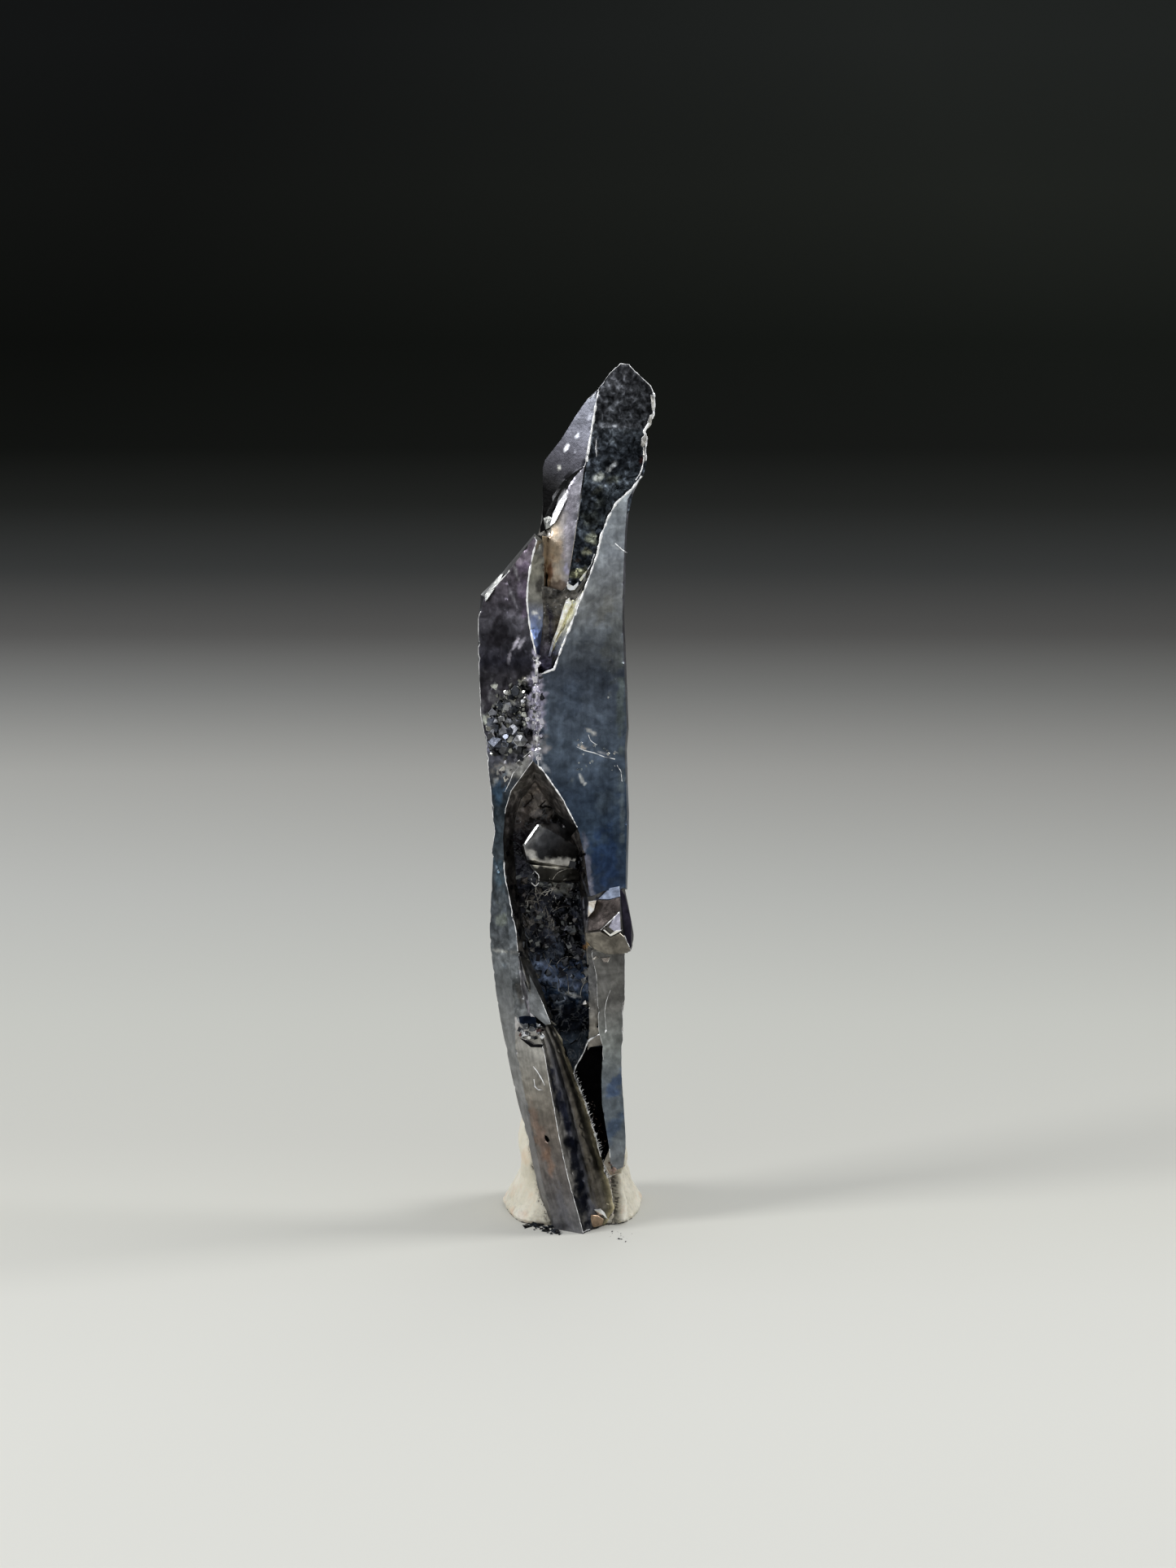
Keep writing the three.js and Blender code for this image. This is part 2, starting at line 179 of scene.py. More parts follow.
def add(tree, kind, inputs=None, **settings):
    """Adds a node, and sets its properties and inputs."""
    node = tree.nodes.new(kind)
    for name, value in settings.items():
        setattr(node, name, value)
    set_inputs(tree, node, inputs or {})
    return node


def maths(tree, operation, a, b=0.0, c=0.0, **settings):
    """What one operation makes of numbers or sockets."""
    return add(tree, "ShaderNodeMath", {0: a, 1: b, 2: c}, operation=operation,
               **settings).outputs[0]


def mixed(tree, share, under, over, **settings):
    """One colour laid over another by a share from 0 to 1."""
    return add(tree, "ShaderNodeMix", {0: share, 6: under, 7: over}, data_type="RGBA",
               **settings).outputs[2]


def new_material(name):
    """A material with nothing set: the material, its node tree and its shader."""
    material = bpy.data.materials.new(name)
    material.use_nodes = True
    tree = material.node_tree
    tree.nodes.clear()
    shader = add(tree, "ShaderNodeBsdfPrincipled")
    add(tree, "ShaderNodeOutputMaterial", {0: shader.outputs[0]})
    return material, tree, shader


def ramp(tree, value, stops):
    """The colour that belongs to a value, between stops of a position and a hex colour."""
    node = add(tree, "ShaderNodeValToRGB", {0: value})
    elements = node.color_ramp.elements
    while len(elements) < len(stops):
        elements.new(1.0)
    for element, (position, colour) in zip(elements, stops):
        element.position = position
        element.color = linear(colour)
    return node.outputs[0]


def new_mesh(name, spots, edges, faces):
    """A mesh whose points are given in millimetres."""
    mesh = bpy.data.meshes.new(name)
    mesh.from_pydata((np.array(spots) * MM).tolist(), edges, faces)
    return mesh


def new_object(name, mesh, material):
    mesh.materials.clear()
    mesh.materials.append(material)
    return in_scene(name, mesh)


print("mid grey #808080 in linear light:", round(linear("#808080")[0], 3))


# %% Floor
FLOOR_RADIUS = 1.2  # metres, because the paper reaches far beyond the specimen
FLOOR_SIDES = 96
FRONT_Y, BACK_Y = -60, 700  # mm, where the painted falloff of light on the paper starts and stops changing
PAPER_PAINTED_FALLOFF = [
    # mm behind the specimen, and the paper's shade there on the left and on the right, which is
    # the falloff of the studio light painted in
    (-60, "#d0cfc8", "#d0cfc8"), (-30, "#cfcec7", "#cfcec7"), (-13, "#cccbc4", "#cccbc4"),
    (2, "#c6c5bd", "#c6c5bd"), (16, "#bebdb6", "#bebdb6"), (42, "#bbbbb4", "#b5b5ae"),
    (73, "#b2b2ad", "#a0a09b"), (109, "#a1a09b", "#868581"), (138, "#797976", "#656562"),
    (160, "#545351", "#494846"), (188, "#363736", "#343534"), (220, "#20211f", "#232422"),
    (251, "#121311", "#181917"), (320, "#0f100e", "#181a17"), (460, "#181917", "#272925"),
    (664, "#1d1e1d", "#2d2f2c"),
]
SIDE_X = 50  # mm to the left and right at which those shades are reached

paper, tree, shader = new_material("seamless_paper")
where = add(tree, "ShaderNodeTexCoord")
parts = add(tree, "ShaderNodeSeparateXYZ", {0: where.outputs["Object"]})
share = add(tree, "ShaderNodeMapRange", {
    0: parts.outputs["Y"], 1: FRONT_Y * MM, 2: BACK_Y * MM})
left, right = (ramp(tree, share.outputs[0], [
    ((row[0] - FRONT_Y) / (BACK_Y - FRONT_Y), row[side]) for row in PAPER_PAINTED_FALLOFF])
    for side in (1, 2))
across = add(tree, "ShaderNodeMapRange", {
    0: parts.outputs["X"], 1: -SIDE_X * MM, 2: SIDE_X * MM})
set_inputs(tree, shader, {
    "Base Color": mixed(tree, across.outputs[0], left, right), "Roughness": 1.0,
    "Specular IOR Level": 0.0})

bm = bmesh.new()
bmesh.ops.create_circle(bm, cap_ends=True, radius=FLOOR_RADIUS, segments=FLOOR_SIDES)
floor_mesh = bpy.data.meshes.new("floor")
bm.to_mesh(floor_mesh)
bm.free()
floor = new_object("floor", floor_mesh, paper)
print("floor of radius", FLOOR_RADIUS, "m")

# %% Light
world = bpy.data.worlds.new("studio")
bpy.context.scene.world = world
world.use_nodes = True
tree = world.node_tree
tree.nodes.clear()
direction = add(tree, "ShaderNodeTexCoord")
parts = add(tree, "ShaderNodeSeparateXYZ", {0: direction.outputs["Generated"]})
height = add(tree, "ShaderNodeMapRange", {0: parts.outputs["Z"], 1: -0.2, 2: 1.0})
glow = ramp(tree, height.outputs[0], [
    (0.0, "#a8a8a8"), (0.17, "#b4b5b6"), (0.5, "#bcbec2"), (1.0, "#c8ccd2")])
background = add(tree, "ShaderNodeBackground", {0: glow, 1: 1.0})
add(tree, "ShaderNodeOutputWorld", {0: background.outputs[0]})

SOFTBOXES = {
    # name: place in mm, size in mm, watts
    "overhead": ((-40, -60, 420), 320, 0.12),
    "left": ((-310, -120, 230), 110, 0.78),
    "right": ((310, 60, 230), 150, 0.72),
    "back": ((60, 330, 260), 220, 0.16),
}
for name, (spot, size, watts) in SOFTBOXES.items():
    light = bpy.data.lights.new(name, "AREA")
    light.size = size * MM
    light.energy = watts
    lamp = in_scene(name, light)
    lamp.location = Vector(spot) * MM
    lamp.rotation_euler = (lamp.location - LOOK_AT * MM).to_track_quat("Z", "Y").to_euler()
print(len(SOFTBOXES), "softboxes")

# %% [markdown]
# ## The crystal's surface
# The solid gives the crystal's true facets, but each is a few huge triangles. Real galena
# carries detail on every scale: etched pits, growth steps, a crust of tiny crystals, chipped
# edges. So a copy of the solid's mesh is joined into one skin, each triangle is given the name
# of the facet it lies on, and the long edges are split until the triangles are finer than the
# smallest pit. A modifier could split them, but working on arrays keeps each facet's name.


# %% One skin from the loose triangles
def skin_of(node):
    """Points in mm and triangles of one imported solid, with doubled points joined."""
    mesh = frame["nodes"][node].data
    mesh.calc_loop_triangles()
    points = np.empty(3 * len(mesh.vertices))
    mesh.vertices.foreach_get("co", points)
    corners = np.empty(3 * len(mesh.loop_triangles), int)
    mesh.loop_triangles.foreach_get("vertices", corners)
    places = np.round(points.reshape(-1, 3) / MM, 3)
    places, index = np.unique(places, axis=0, return_inverse=True)
    triangles = index.reshape(-1)[corners.reshape(-1, 3)]
    whole = (triangles != np.roll(triangles, 1, axis=1)).all(axis=1)
    return places, triangles[whole]


def crosses(points, triangles):
    """A vector square to each triangle, longer the larger the triangle is."""
    a, b, c = (points[triangles[:, i]] for i in range(3))
    return np.cross(b - a, c - a)


def unit(vectors):
    """The same directions with a length of 1."""
    return vectors / np.maximum(np.linalg.norm(vectors, axis=1), 1e-12)[:, None]


points, triangles = skin_of("galena_crystal")
print(len(points), "points and", len(triangles), "triangles in the solid")

# %% The facet that each triangle lies on
ON_FACE = 0.02  # mm from its plane
FACET_NAMES = [*FACES, "back", "wall", "valley wall", "notch wall", "shoulder", "bright wall",
               "hopper wall", "wedge", "lath side", "flat lath", "ribs", "side crystal",
               "side crystal edge", "lower rim", "slot", "streak", "crust"]
NUMBER = {name: number for number, name in enumerate(FACET_NAMES)}


def name_facets(points, triangles):
    """The number of each triangle's facet. A later rule wins over an earlier one."""
    normal = unit(crosses(points, triangles))
    corners = points[triangles]
    x, s, depth = (v.reshape(-1, 3) for v in on_sheet(corners.reshape(-1, 3)))
    cx, cs, cd = x.mean(axis=1), s.mean(axis=1), depth.mean(axis=1)
    facet = np.full(len(triangles), NUMBER["wall"])
    facet[(cd > 1.4) | (normal[:, 1] > 0.3)] = NUMBER["back"]

    def give(name, *where):
        facet[np.logical_and.reduce(where)] = NUMBER[name]

    left, front, crest, right = bundle_edges(cs)
    facing = normal[:, 1] < 0.2
    give("shoulder", facing, cs > 30.5, cx < -1.5, cd < 0.9, normal[:, 0] < 0)
    give("valley wall", facing, cs > 28, cs < 34.3, cx > -2, cx < -0.9, cd < 0.8, normal[:, 0] > 0)
    give("notch wall", facing, cs > 27.4, cs < 37.4, cx > -1.2, normal[:, 0] < 0.1, cd < 1.0)
    give("bright wall", facing, cs > 32.5, cs < 37.7, cx < 1.0, cd > 0.2, cd < 1.9,
         normal[:, 0] < 0, cx > -1.8)
    give("hopper wall", facing, cs > 7.5, cs < 23.2, cx > -3.2, cx < 1.7, cd < 0.7)
    give("lower rim", facing, cs > 8.5, cs < 14, cx > 0.75, cd < 0.7)
    give("wedge", facing, cs > 16.9, cs < 20.2, cx > -2.3, cx < 0.3, cd > -0.5, cd < 0.45)
    give("side crystal", cs > 13.55, cs < 16.9, cx > 0.85, cd < 1.35, cd > -1.3)
    give("side crystal edge", cs > 13.55, cs < 16.9, cx > 2.7, cd < 1.35, normal[:, 0] > 0.35)
    bundle = (cs < 13.2) & (cx > left - 0.1) & (cx < right + 0.1) & (cd < 0.9)
    give("ribs", facing, bundle, cx >= crest)
    give("flat lath", facing, bundle, cx < crest)
    give("lath side", facing, bundle, cx < front)
    give("left face", facing, cs > 12.9, cs < 18.8, cx < front + 0.05, cd < 0.9)
    give("slot", cs < 9.1, cs > 2.4, cx > right - 0.12, cx < 2.6, cd > 0.15, facing)
    ground = np.where(cx < RIDGE[0], FACES["left face"](cx, cs), FACES["right face"](cx, cs))
    give("crust", cs > 22, cs < 31, cx < 3, cd < ground - ON_FACE, cd > ground - 0.6)
    give("streak", facing, cs > 28, cs < 31.1, cx > -1.05, cx < 0.6, cd < 0.2)
    for name, plane in FACES.items():
        gap = np.abs(depth - plane(x, s)).max(axis=1)
        give(name, gap < ON_FACE, normal[:, 1] < 0)
    return facet


facet = name_facets(points, triangles)
for name, number in NUMBER.items():
    print(name, int((facet == number).sum()), "triangles")


# %% A fine, even mesh over each flat facet
SAME_PLANE = math.radians(0.4)
FRONT_EDGE = 0.1
BACK_EDGE = 0.3
FRONT_DEPTH = 1.0
TIP_FROM = 31


def edge_length(spot):
    """How long a triangle's edges may be at a point: fine in front, coarser behind."""
    _, s, depth = on_sheet(np.array([spot]))
    return FRONT_EDGE if depth[0] < FRONT_DEPTH or s[0] > TIP_FROM else BACK_EDGE


def joined_facets(points, triangles, facet):
    """A bmesh in which neighbours on one plane are one face."""
    mesh = bpy.data.meshes.new("flat")
    mesh.from_pydata(points.tolist(), [], triangles.tolist())
    mesh.polygons.foreach_set("material_index", facet)
    bm = bmesh.new()
    bm.from_mesh(mesh)
    bpy.data.meshes.remove(mesh)
    bmesh.ops.dissolve_limit(bm, angle_limit=SAME_PLANE, verts=bm.verts, edges=bm.edges,
                             delimit={"MATERIAL"})
    bm.verts.index_update()
    return bm


def inside(spots, outline):
    """Which spots lie inside a closed outline, by counting crossings."""
    start, end = outline, np.roll(outline, -1, axis=0)
    x, y = spots[:, 0, None], spots[:, 1, None]
    spans = (start[:, 1] > y) != (end[:, 1] > y)
    rise = np.where(end[:, 1] == start[:, 1], 1e-12, end[:, 1] - start[:, 1])
    cross = start[:, 0] + (y - start[:, 1]) * (end[:, 0] - start[:, 0]) / rise
    return (spans & (x < cross)).sum(axis=1) % 2 == 1


def fine_mesh(bm):
    """Each flat facet cut into small, even triangles that meet its neighbours' at the edges."""
    points = [tuple(v.co) for v in bm.verts]
    on_edge = {}
    for edge in bm.edges:
        a, b = edge.verts
        parts = max(1, math.ceil(edge.calc_length() / edge_length((a.co + b.co) / 2)))
        on_edge[a.index, b.index] = list(range(len(points), len(points) + parts - 1))
        points += [tuple(a.co.lerp(b.co, i / parts)) for i in range(1, parts)]
        on_edge[b.index, a.index] = on_edge[a.index, b.index][::-1]
    triangles, facet = [], []
    for polygon in bm.faces:
        ring = []
        for loop in polygon.loops:
            start, end = loop.vert.index, loop.link_loop_next.vert.index
            ring += [start, *on_edge[start, end]]
        side = polygon.normal.orthogonal().normalized()
        axes = np.array([side, polygon.normal.cross(side)]).T
        centre = np.array(polygon.calc_center_median())
        outline = (np.array([points[i] for i in ring]) - centre) @ axes
        step = edge_length(centre)
        low, high = outline.min(axis=0), outline.max(axis=0)
        grid = np.array([
            (u + (row % 2) * step / 2, v)
            for row, v in enumerate(np.arange(low[1], high[1], step * 0.87))
            for u in np.arange(low[0], high[0], step)
        ]).reshape(-1, 2)
        if len(grid):
            grid = grid[inside(grid, outline)]
        if len(grid):
            gap = np.linalg.norm(grid[:, None] - outline[None], axis=2).min(axis=1)
            grid = grid[gap > 0.6 * step]
        flat = [Vector(p) for p in (*outline, *grid)]
        number = ring + list(range(len(points), len(points) + len(grid)))
        points += [tuple(centre + axes @ spot) for spot in grid]
        _, _, faces, origin, _, _ = delaunay_2d_cdt(flat, [], [list(range(len(ring)))], 1, 1e-7)
        for a, b, c in faces:
            triangles.append([number[origin[i][0]] for i in (a, b, c)])
            facet.append(polygon.material_index)
    return np.array(points), np.array(triangles), np.array(facet)


bm = joined_facets(points, triangles, facet)
print(len(bm.faces), "flat facets")
points, triangles, facet = fine_mesh(bm)
print(len(points), "points and", len(triangles), "fine triangles")

# %% [markdown]
# ## Relief
# Growth and chipping shape a galena face more than anything: low swells that bend a
# reflection, a crust of little terraces where two faces meet, round hillocks near the tip, and
# edges that have lost flakes. Sculpting these by hand would not repeat, so each is a rule that
# moves the skin's points along their normals. Noise is measured in millimetres.

# %% Distance to the nearest sharp edge
SHARP = math.radians(16)
SAMPLE_STEP = 0.05


def distance_to(targets, spots):
    """How far each spot is from the nearest target."""
    tree = kdtree.KDTree(len(targets))
    for number, target in enumerate(targets):
        tree.insert(target, number)
    tree.balance()
    return np.array([tree.find(spot)[2] for spot in spots])


samples = []
for edge in bm.edges:
    if edge.is_manifold and edge.calc_face_angle() > SHARP:
        a, b = (v.co for v in edge.verts)
        count = max(2, math.ceil((b - a).length / SAMPLE_STEP))
        samples += [a.lerp(b, i / count) for i in range(count + 1)]
bm.free()
edge_gap = distance_to(samples, points)
print(len(samples), "samples on the sharp edges")


# %% Noise and soft limits
def fuzz(spots, size, shift=0.0, octaves=1):
    """Noise from about -1 to 1 at each spot; size is its largest feature in millimetres."""
    total = np.zeros(len(spots))
    for octave in range(octaves):
        at = spots * 2 ** octave / size + shift + 17.3 * octave
        total += np.array([noise.noise(spot) for spot in at]) / 2 ** octave
    return 1.8 * total


def blocky(spots, size, shift=0.0):
    """One random value from -1 to 1 for each angular cell of about this size in millimetres."""
    values = []
    for spot in spots / size + shift:
        cell = noise.voronoi(spot)[1][0]
        values.append(2 * noise.cell(cell * 31.7) - 1)
    return np.array(values)


def soft(value, low, high):
    """0 below low, 1 above high, smooth between; low may be above high."""
    share = np.clip((value - low) / (high - low), 0, 1)
    return share * share * (3 - 2 * share)


def spot_of(x, s, at_x, at_s, length, width, tilt, ragged=0.0):
    """1 inside an ellipse on the sheet that is tilted by so many degrees, 0 outside."""
    turn = math.radians(tilt)
    along = (x - at_x) * math.cos(turn) + (s - at_s) * math.sin(turn)
    across = (s - at_s) * math.cos(turn) - (x - at_x) * math.sin(turn)
    return soft(np.hypot(along / length, across / width) + ragged, 1.25, 0.55)


print("noise at the first point:", fuzz(points[:1], 2.2).round(3))


# %% Moving the points
def point_normals(points, triangles):
    """The normal at each point, where a large triangle counts for more than a small one."""
    total = np.zeros_like(points)
    for corner in range(3):
        np.add.at(total, triangles[:, corner], crosses(points, triangles))
    return unit(total)


HILLOCKS = [
    # x, s, radius and height in mm
    (1.25, 33.99, 0.34, 0.05), (0.94, 33.38, 0.3, 0.05), (0.68, 32.36, 0.36, 0.06),
    (1.65, 36.37, 0.33, 0.03), (2.22, 36.85, 0.3, 0.02), (0.55, 32.9, 0.12, 0.03),
    (1.35, 35.2, 0.2, -0.03), (2.0, 35.6, 0.16, -0.04), (1.1, 34.7, 0.15, -0.03),
    (2.9, 39.0, 0.25, -0.03), (2.3, 38.6, 0.2, -0.03), (3.2, 38.1, 0.2, -0.03),
]
PITS = [
    # x, s, half length, half width in mm, tilt in degrees and depth in mm, on the flat lath
    (-0.98, 4.44, 0.2, 0.1, 125, 0.12), (-1.3, 7.2, 0.22, 0.12, 60, 0.05),
    (-0.9, 3.75, 0.12, 0.05, 100, 0.04), (-0.35, 2.4, 0.3, 0.05, 105, 0.03),
]
CRUST_SLANT, CRUST_TOP = 0.93, 29.1  # the broken growth ends at a slanting line on the left face


def rough_left(x, s):
    """How rough the left face is: a band of broken growth from its edge to the ridge."""
    upper = spot_of(x, s, -2.2, 26.6, 1.2, 0.42, 58)
    return (np.maximum(spot_of(x, s, -2.9, 24.8, 1.9, 1.3, 115), upper)
            * soft(s - CRUST_SLANT * x, CRUST_TOP + 0.2, CRUST_TOP - 0.3))


def rough_ridge(x, s):
    """How rough the long ridge is, a narrow strip with the crust in its middle."""
    return spot_of(x, s, -1.4, 25.8, 2.8, 0.28, 91)


# Heights of the relief, in mm
SWELLS, TERRACES, EDGE_CHIPS, TIP_PITS = 0.012, 0.07, 0.1, 0.05
FLOOR_BLOCKS, FLOOR_GRAIN, FACE_GRAIN = 0.035, 0.03, 0.008
BEHIND = 1.5  # depth in mm past which the edges are left whole


def relief(points, facet_of_point):
    """How far each point moves out along its normal, in mm."""
    x, s, depth = on_sheet(points)
    away = soft(edge_gap, 0.0, 0.15)
    lift = SWELLS * fuzz(points, 2.2) * away
    on = {name: facet_of_point == number for name, number in NUMBER.items()}

    rough = np.maximum(rough_left(x, s) * on["left face"], rough_ridge(x, s))
    broken = (rough > 0.02) & ~on["crust"]
    lift[broken] += TERRACES * (blocky(points[broken], 0.5) * rough[broken] * away[broken])
    floor = on["hopper floor"] & (s > 9.2)
    cells = blocky(points[floor], 0.55, 3.0) + 0.6 * fuzz(points[floor], 0.8, 3.1, 2)
    lift[floor] += FLOOR_BLOCKS * cells * away[floor] * soft(s[floor], 9.2, 14.0)
    lift += FLOOR_GRAIN * fuzz(points, 0.5, 7.7, 2) * away * on["hopper floor"]
    for at_x, at_s, length, width, tilt, sunk in PITS:
        lift -= sunk * spot_of(x, s, at_x, at_s, length, width, tilt) * on["flat lath"]
    lift += FACE_GRAIN * fuzz(points, 0.4, 9.1, 2) * away * on["right face"]

    pits = np.minimum(0, fuzz(points, 0.28, 5.5) + 0.55)
    lift += TIP_PITS * pits * away * on["tip plate"]
    for at_x, at_s, radius, height in HILLOCKS:
        dome = spot_of(x, s, at_x, at_s, radius, radius * 0.8, 60)
        lift += height * dome * away * on["tip plate"]

    chips = np.maximum(0, fuzz(points, 0.35, 11.0) - 0.3) * soft(edge_gap, 0.12, 0.0)
    lift -= EDGE_CHIPS * chips * (depth < BEHIND)
    return lift


facet_of_point = np.zeros(len(points), int)
facet_of_point[triangles.reshape(-1)] = np.repeat(facet, 3)
flat_points = points
lift = relief(points, facet_of_point)
points = points + lift[:, None] * point_normals(points, triangles)
points[:, 2] = np.where(flat_points[:, 2] < 0.01, flat_points[:, 2], np.maximum(points[:, 2], 0))
print("relief from", round(lift.min(), 3), "to", round(lift.max(), 3), "mm")

# %% [markdown]
# ## Tarnish, with painted reflection and shade
# Fresh galena is lead grey. Air leaves a film on it, a few hundred nanometres thick, that
# tints each face by its own age: blue on the large right face, violet near the valley, tan and
# brown where the film is oldest. A galena face is a mirror, and its colours also hold painted
# reflection and painted shade: pale where a face mirrors the bright room, near white in painted
# glints, and almost black where a face turns away from the light. Each facet gets a gradient of
# its own, patches of a named colour go over it, and the result is stored on the corners of the
# triangles, so that a colour ends exactly at the facet's edge.

# %% Gradients
GRADIENTS = {
    # facet: roughness, mottling, frost with painted glints, and growth lines, then the direction
    # across and up, and the places in mm and colours along it: tarnish with painted reflection and
    # shade
    "tip plate": (0.28, 1.0, 0.1, 0.0, (0, 1), [
        (31, "#1b1c20"), (34.5, "#2d3237"), (36, "#363b40"), (38, "#393e44"), (39.3, "#33373b"),
        (39.5, "#505256"), (39.7, "#35373a"), (42.6, "#424346")]),
    # Painted shade: the leaning face is near black below s 36.5, where it lies in shadow; the paler
    # upper part is partly a painted reflection.
    "leaning face": (0.38, 0.3, 0.1, 0.1, (0.6, 1), [
        (33, "#050505"), (35.9, "#0a0a0a"), (36.5, "#1c1c1d"), (38.4, "#3f3f45"),
        (41, "#656770"), (43, "#83878d")]),
    "tan face": (0.36, 0.35, 0.2, 0.1, (1, 0.05), [
        (0.75, "#c8b29c"), (1.2, "#cfc2af"), (1.6, "#a39e9d"), (2.0, "#7e7c84"), (2.5, "#898990")]),
    # Painted light and shade: the wall is pale below s 36 to make up for the shade on this steep wall,
    # with a painted reflection near s 35.6, and black painted shade above s 36.5.
    "bright wall": (0.4, 0.5, 0.3, 0.2, (0, 1), [
        (30.5, "#8c7f70"), (32, "#c0b09a"), (33.4, "#d2c6b6"), (34.3, "#bcb8b0"),
        (34.9, "#8c8b88"), (35.6, "#b8b9ba"), (36.1, "#5c5c5e"), (36.5, "#101010"),
        (37.4, "#0c0c0c")]),
    "valley wall": (0.34, 0.4, 0.35, 0.1, (0, 1), [
        (28.2, "#7c81bb"), (29.2, "#9fb6f0"), (30.2, "#9aa2bc"), (30.9, "#8a8984"),
        (32.5, "#7d7b72"), (34, "#a3a29a")]),
    # Painted glint: the shoulder is near white at its outer end, going black inwards.
    "shoulder": (0.34, 0.9, 0.5, 0.2, (1, 0), [
        (-4.4, "#c9cbca"), (-3.4, "#8a8b8a"), (-2.8, "#1c1b1b"), (-1.5, "#141313")]),
    "left face": (0.34, 0.7, 0.25, 0.05, (0, 1), [
        (8, "#77797c"), (10, "#74777a"), (13.6, "#63676b"), (15, "#53585e"), (18, "#42494f"),
        (21, "#2a3137"), (22.5, "#393b40"), (24, "#484851"), (26, "#36343a"), (27.3, "#29282c"),
        (28, "#222229"), (30, "#4a4950"), (33.5, "#69616b")]),
    # Partly painted reflection: pale grey-blue at the top to dark navy at the bottom, over the blue
    # tarnish.
    "right face": (0.34, 0.42, 0.12, 0.14, (0, 1), [
        (16.5, "#333e52"), (19, "#394759"), (21.5, "#384352"), (24, "#5d6978"),
        (25.6, "#5b6573"), (27.4, "#484f5a"), (29.5, "#747a80"), (31, "#95989a"),
        (33.5, "#9ca2a9"), (36.5, "#b6bec4")]),
    "notch wall": (0.36, 0.7, 0.15, 0.0, (0, 1), [
        (28, "#2b2a30"), (30.5, "#1c1a20"), (32.5, "#24272b"), (34, "#2c3136"), (35.5, "#24282c"),
        (37.4, "#16191c")]),
    "valley floor": (0.42, 1.0, 0.5, 0.2, (0, 1), [
        (28, "#514e60"), (30, "#64605b"), (32, "#4e4c49")]),
    # Painted glint: the near-white streak along the foot of the valley's wall.
    "streak": (0.3, 0.3, 0.3, 0.3, (0, 1), [
        (28, "#efe6ca"), (30, "#fffce4"), (31, "#fffae4")]),
    # Painted light: the wall is lighter than the floor beside it, to make up for the shade the steep
    # wall falls in.
    "hopper wall": (0.42, 0.9, 0.4, 0.0, (0, 1), [
        (7.5, "#22262b"), (9.5, "#121316"), (11, "#1c2026"), (12, "#343a44"), (14, "#454444"),
        (17, "#4e4a47"), (20, "#5d5957"), (21.5, "#928d8a"), (23, "#a6a3a1")]),
    "hopper floor": (0.4, 0.9, 0.3, 0.0, (0, 1), [
        (8, "#2c343c"), (9.2, "#262d36"), (9.8, "#0c0e12"), (10.8, "#0e1016"), (11.6, "#232e3e"),
        (12.6, "#2c3950"), (13.4, "#262b34"), (15, "#22242b"), (17, "#2e3038"), (19.5, "#282527"),
        (21, "#595450"), (22, "#736c67"), (23, "#7c7672")]),
    # Painted shading: the wedge is near white at its upper left edge, going black towards the lower
    # right.
    "wedge": (0.34, 0.5, 0.25, 0.1, (0.8, -0.6), [
        (-13.2, "#e4e4e2"), (-12.95, "#8c8b88"), (-12.6, "#4e4e4f"), (-12.1, "#353536"),
        (-11.5, "#201f1e"), (-10.7, "#0e0d0c")]),
    "lath side": (0.4, 0.35, 0.2, 0.2, (0, 1), [
        (0, "#77777c"), (4, "#6c6a6c"), (8, "#8c8d8e"), (13, "#6c7074")]),
    "flat lath": (0.4, 0.35, 0.25, 0.25, (0, 1), [
        (0, "#7a7a7e"), (2, "#6c6868"), (5, "#736c66"), (7, "#85817a"), (8.6, "#a4a29e"),
        (9.5, "#908e8a"), (10.5, "#bebcbe"), (13, "#b0b0b4")]),
    "ribs": (0.4, 0.5, 0.25, 0.35, (0, 1), [
        (0, "#56554f"), (5, "#5a564f"), (8, "#6a6763"), (10, "#88857e"), (13, "#8a8881")]),
    "side crystal": (0.36, 0.5, 0.25, 0.1, (-0.4, 1), [
        (12.3, "#7a7872"), (13.3, "#716f6c"), (14.2, "#4a4744"), (15, "#56565c"),
        (16, "#7c7f8a")]),
    "side crystal edge": (0.34, 0.5, 0.1, 0.0, (0, 1), [(13, "#221f26"), (17, "#29272f")]),
    "lower rim": (0.4, 0.6, 0.5, 0.15, (0, 1), [
        (8.5, "#88857e"), (10, "#7c7871"), (12, "#6f6f70"), (14, "#62615f")]),
    "lower right": (0.38, 0.4, 0.2, 0.12, (0, 1), [
        (2.8, "#787b7e"), (5, "#646c73"), (7, "#6b737b"), (9, "#828684"), (11, "#6d6c69"),
        (16, "#666563")]),
    # Painted shade: the slot between the laths is painted black.
    "slot": (0.5, 0.6, 0.0, 0.0, (0, 1), [(0, "#060606"), (9, "#080809")]),
    "wall": (0.36, 0.6, 0.15, 0.1, (0.15, 1), [
        (0, "#626164"), (9, "#545860"), (16, "#435062"), (24, "#4c525c"), (31, "#5e5e66"),
        (38, "#70707a"), (43, "#82858e")]),
    "crust": (0.32, 0.8, 0.5, 0.0, (1, 0), [
        (-4.2, "#8e918e"), (-2.2, "#a3a29c"), (-1.3, "#cfccd6"), (0.5, "#b4b6b8")]),
}
GRADIENTS["back"] = GRADIENTS["wall"]  # the same film runs on round the back

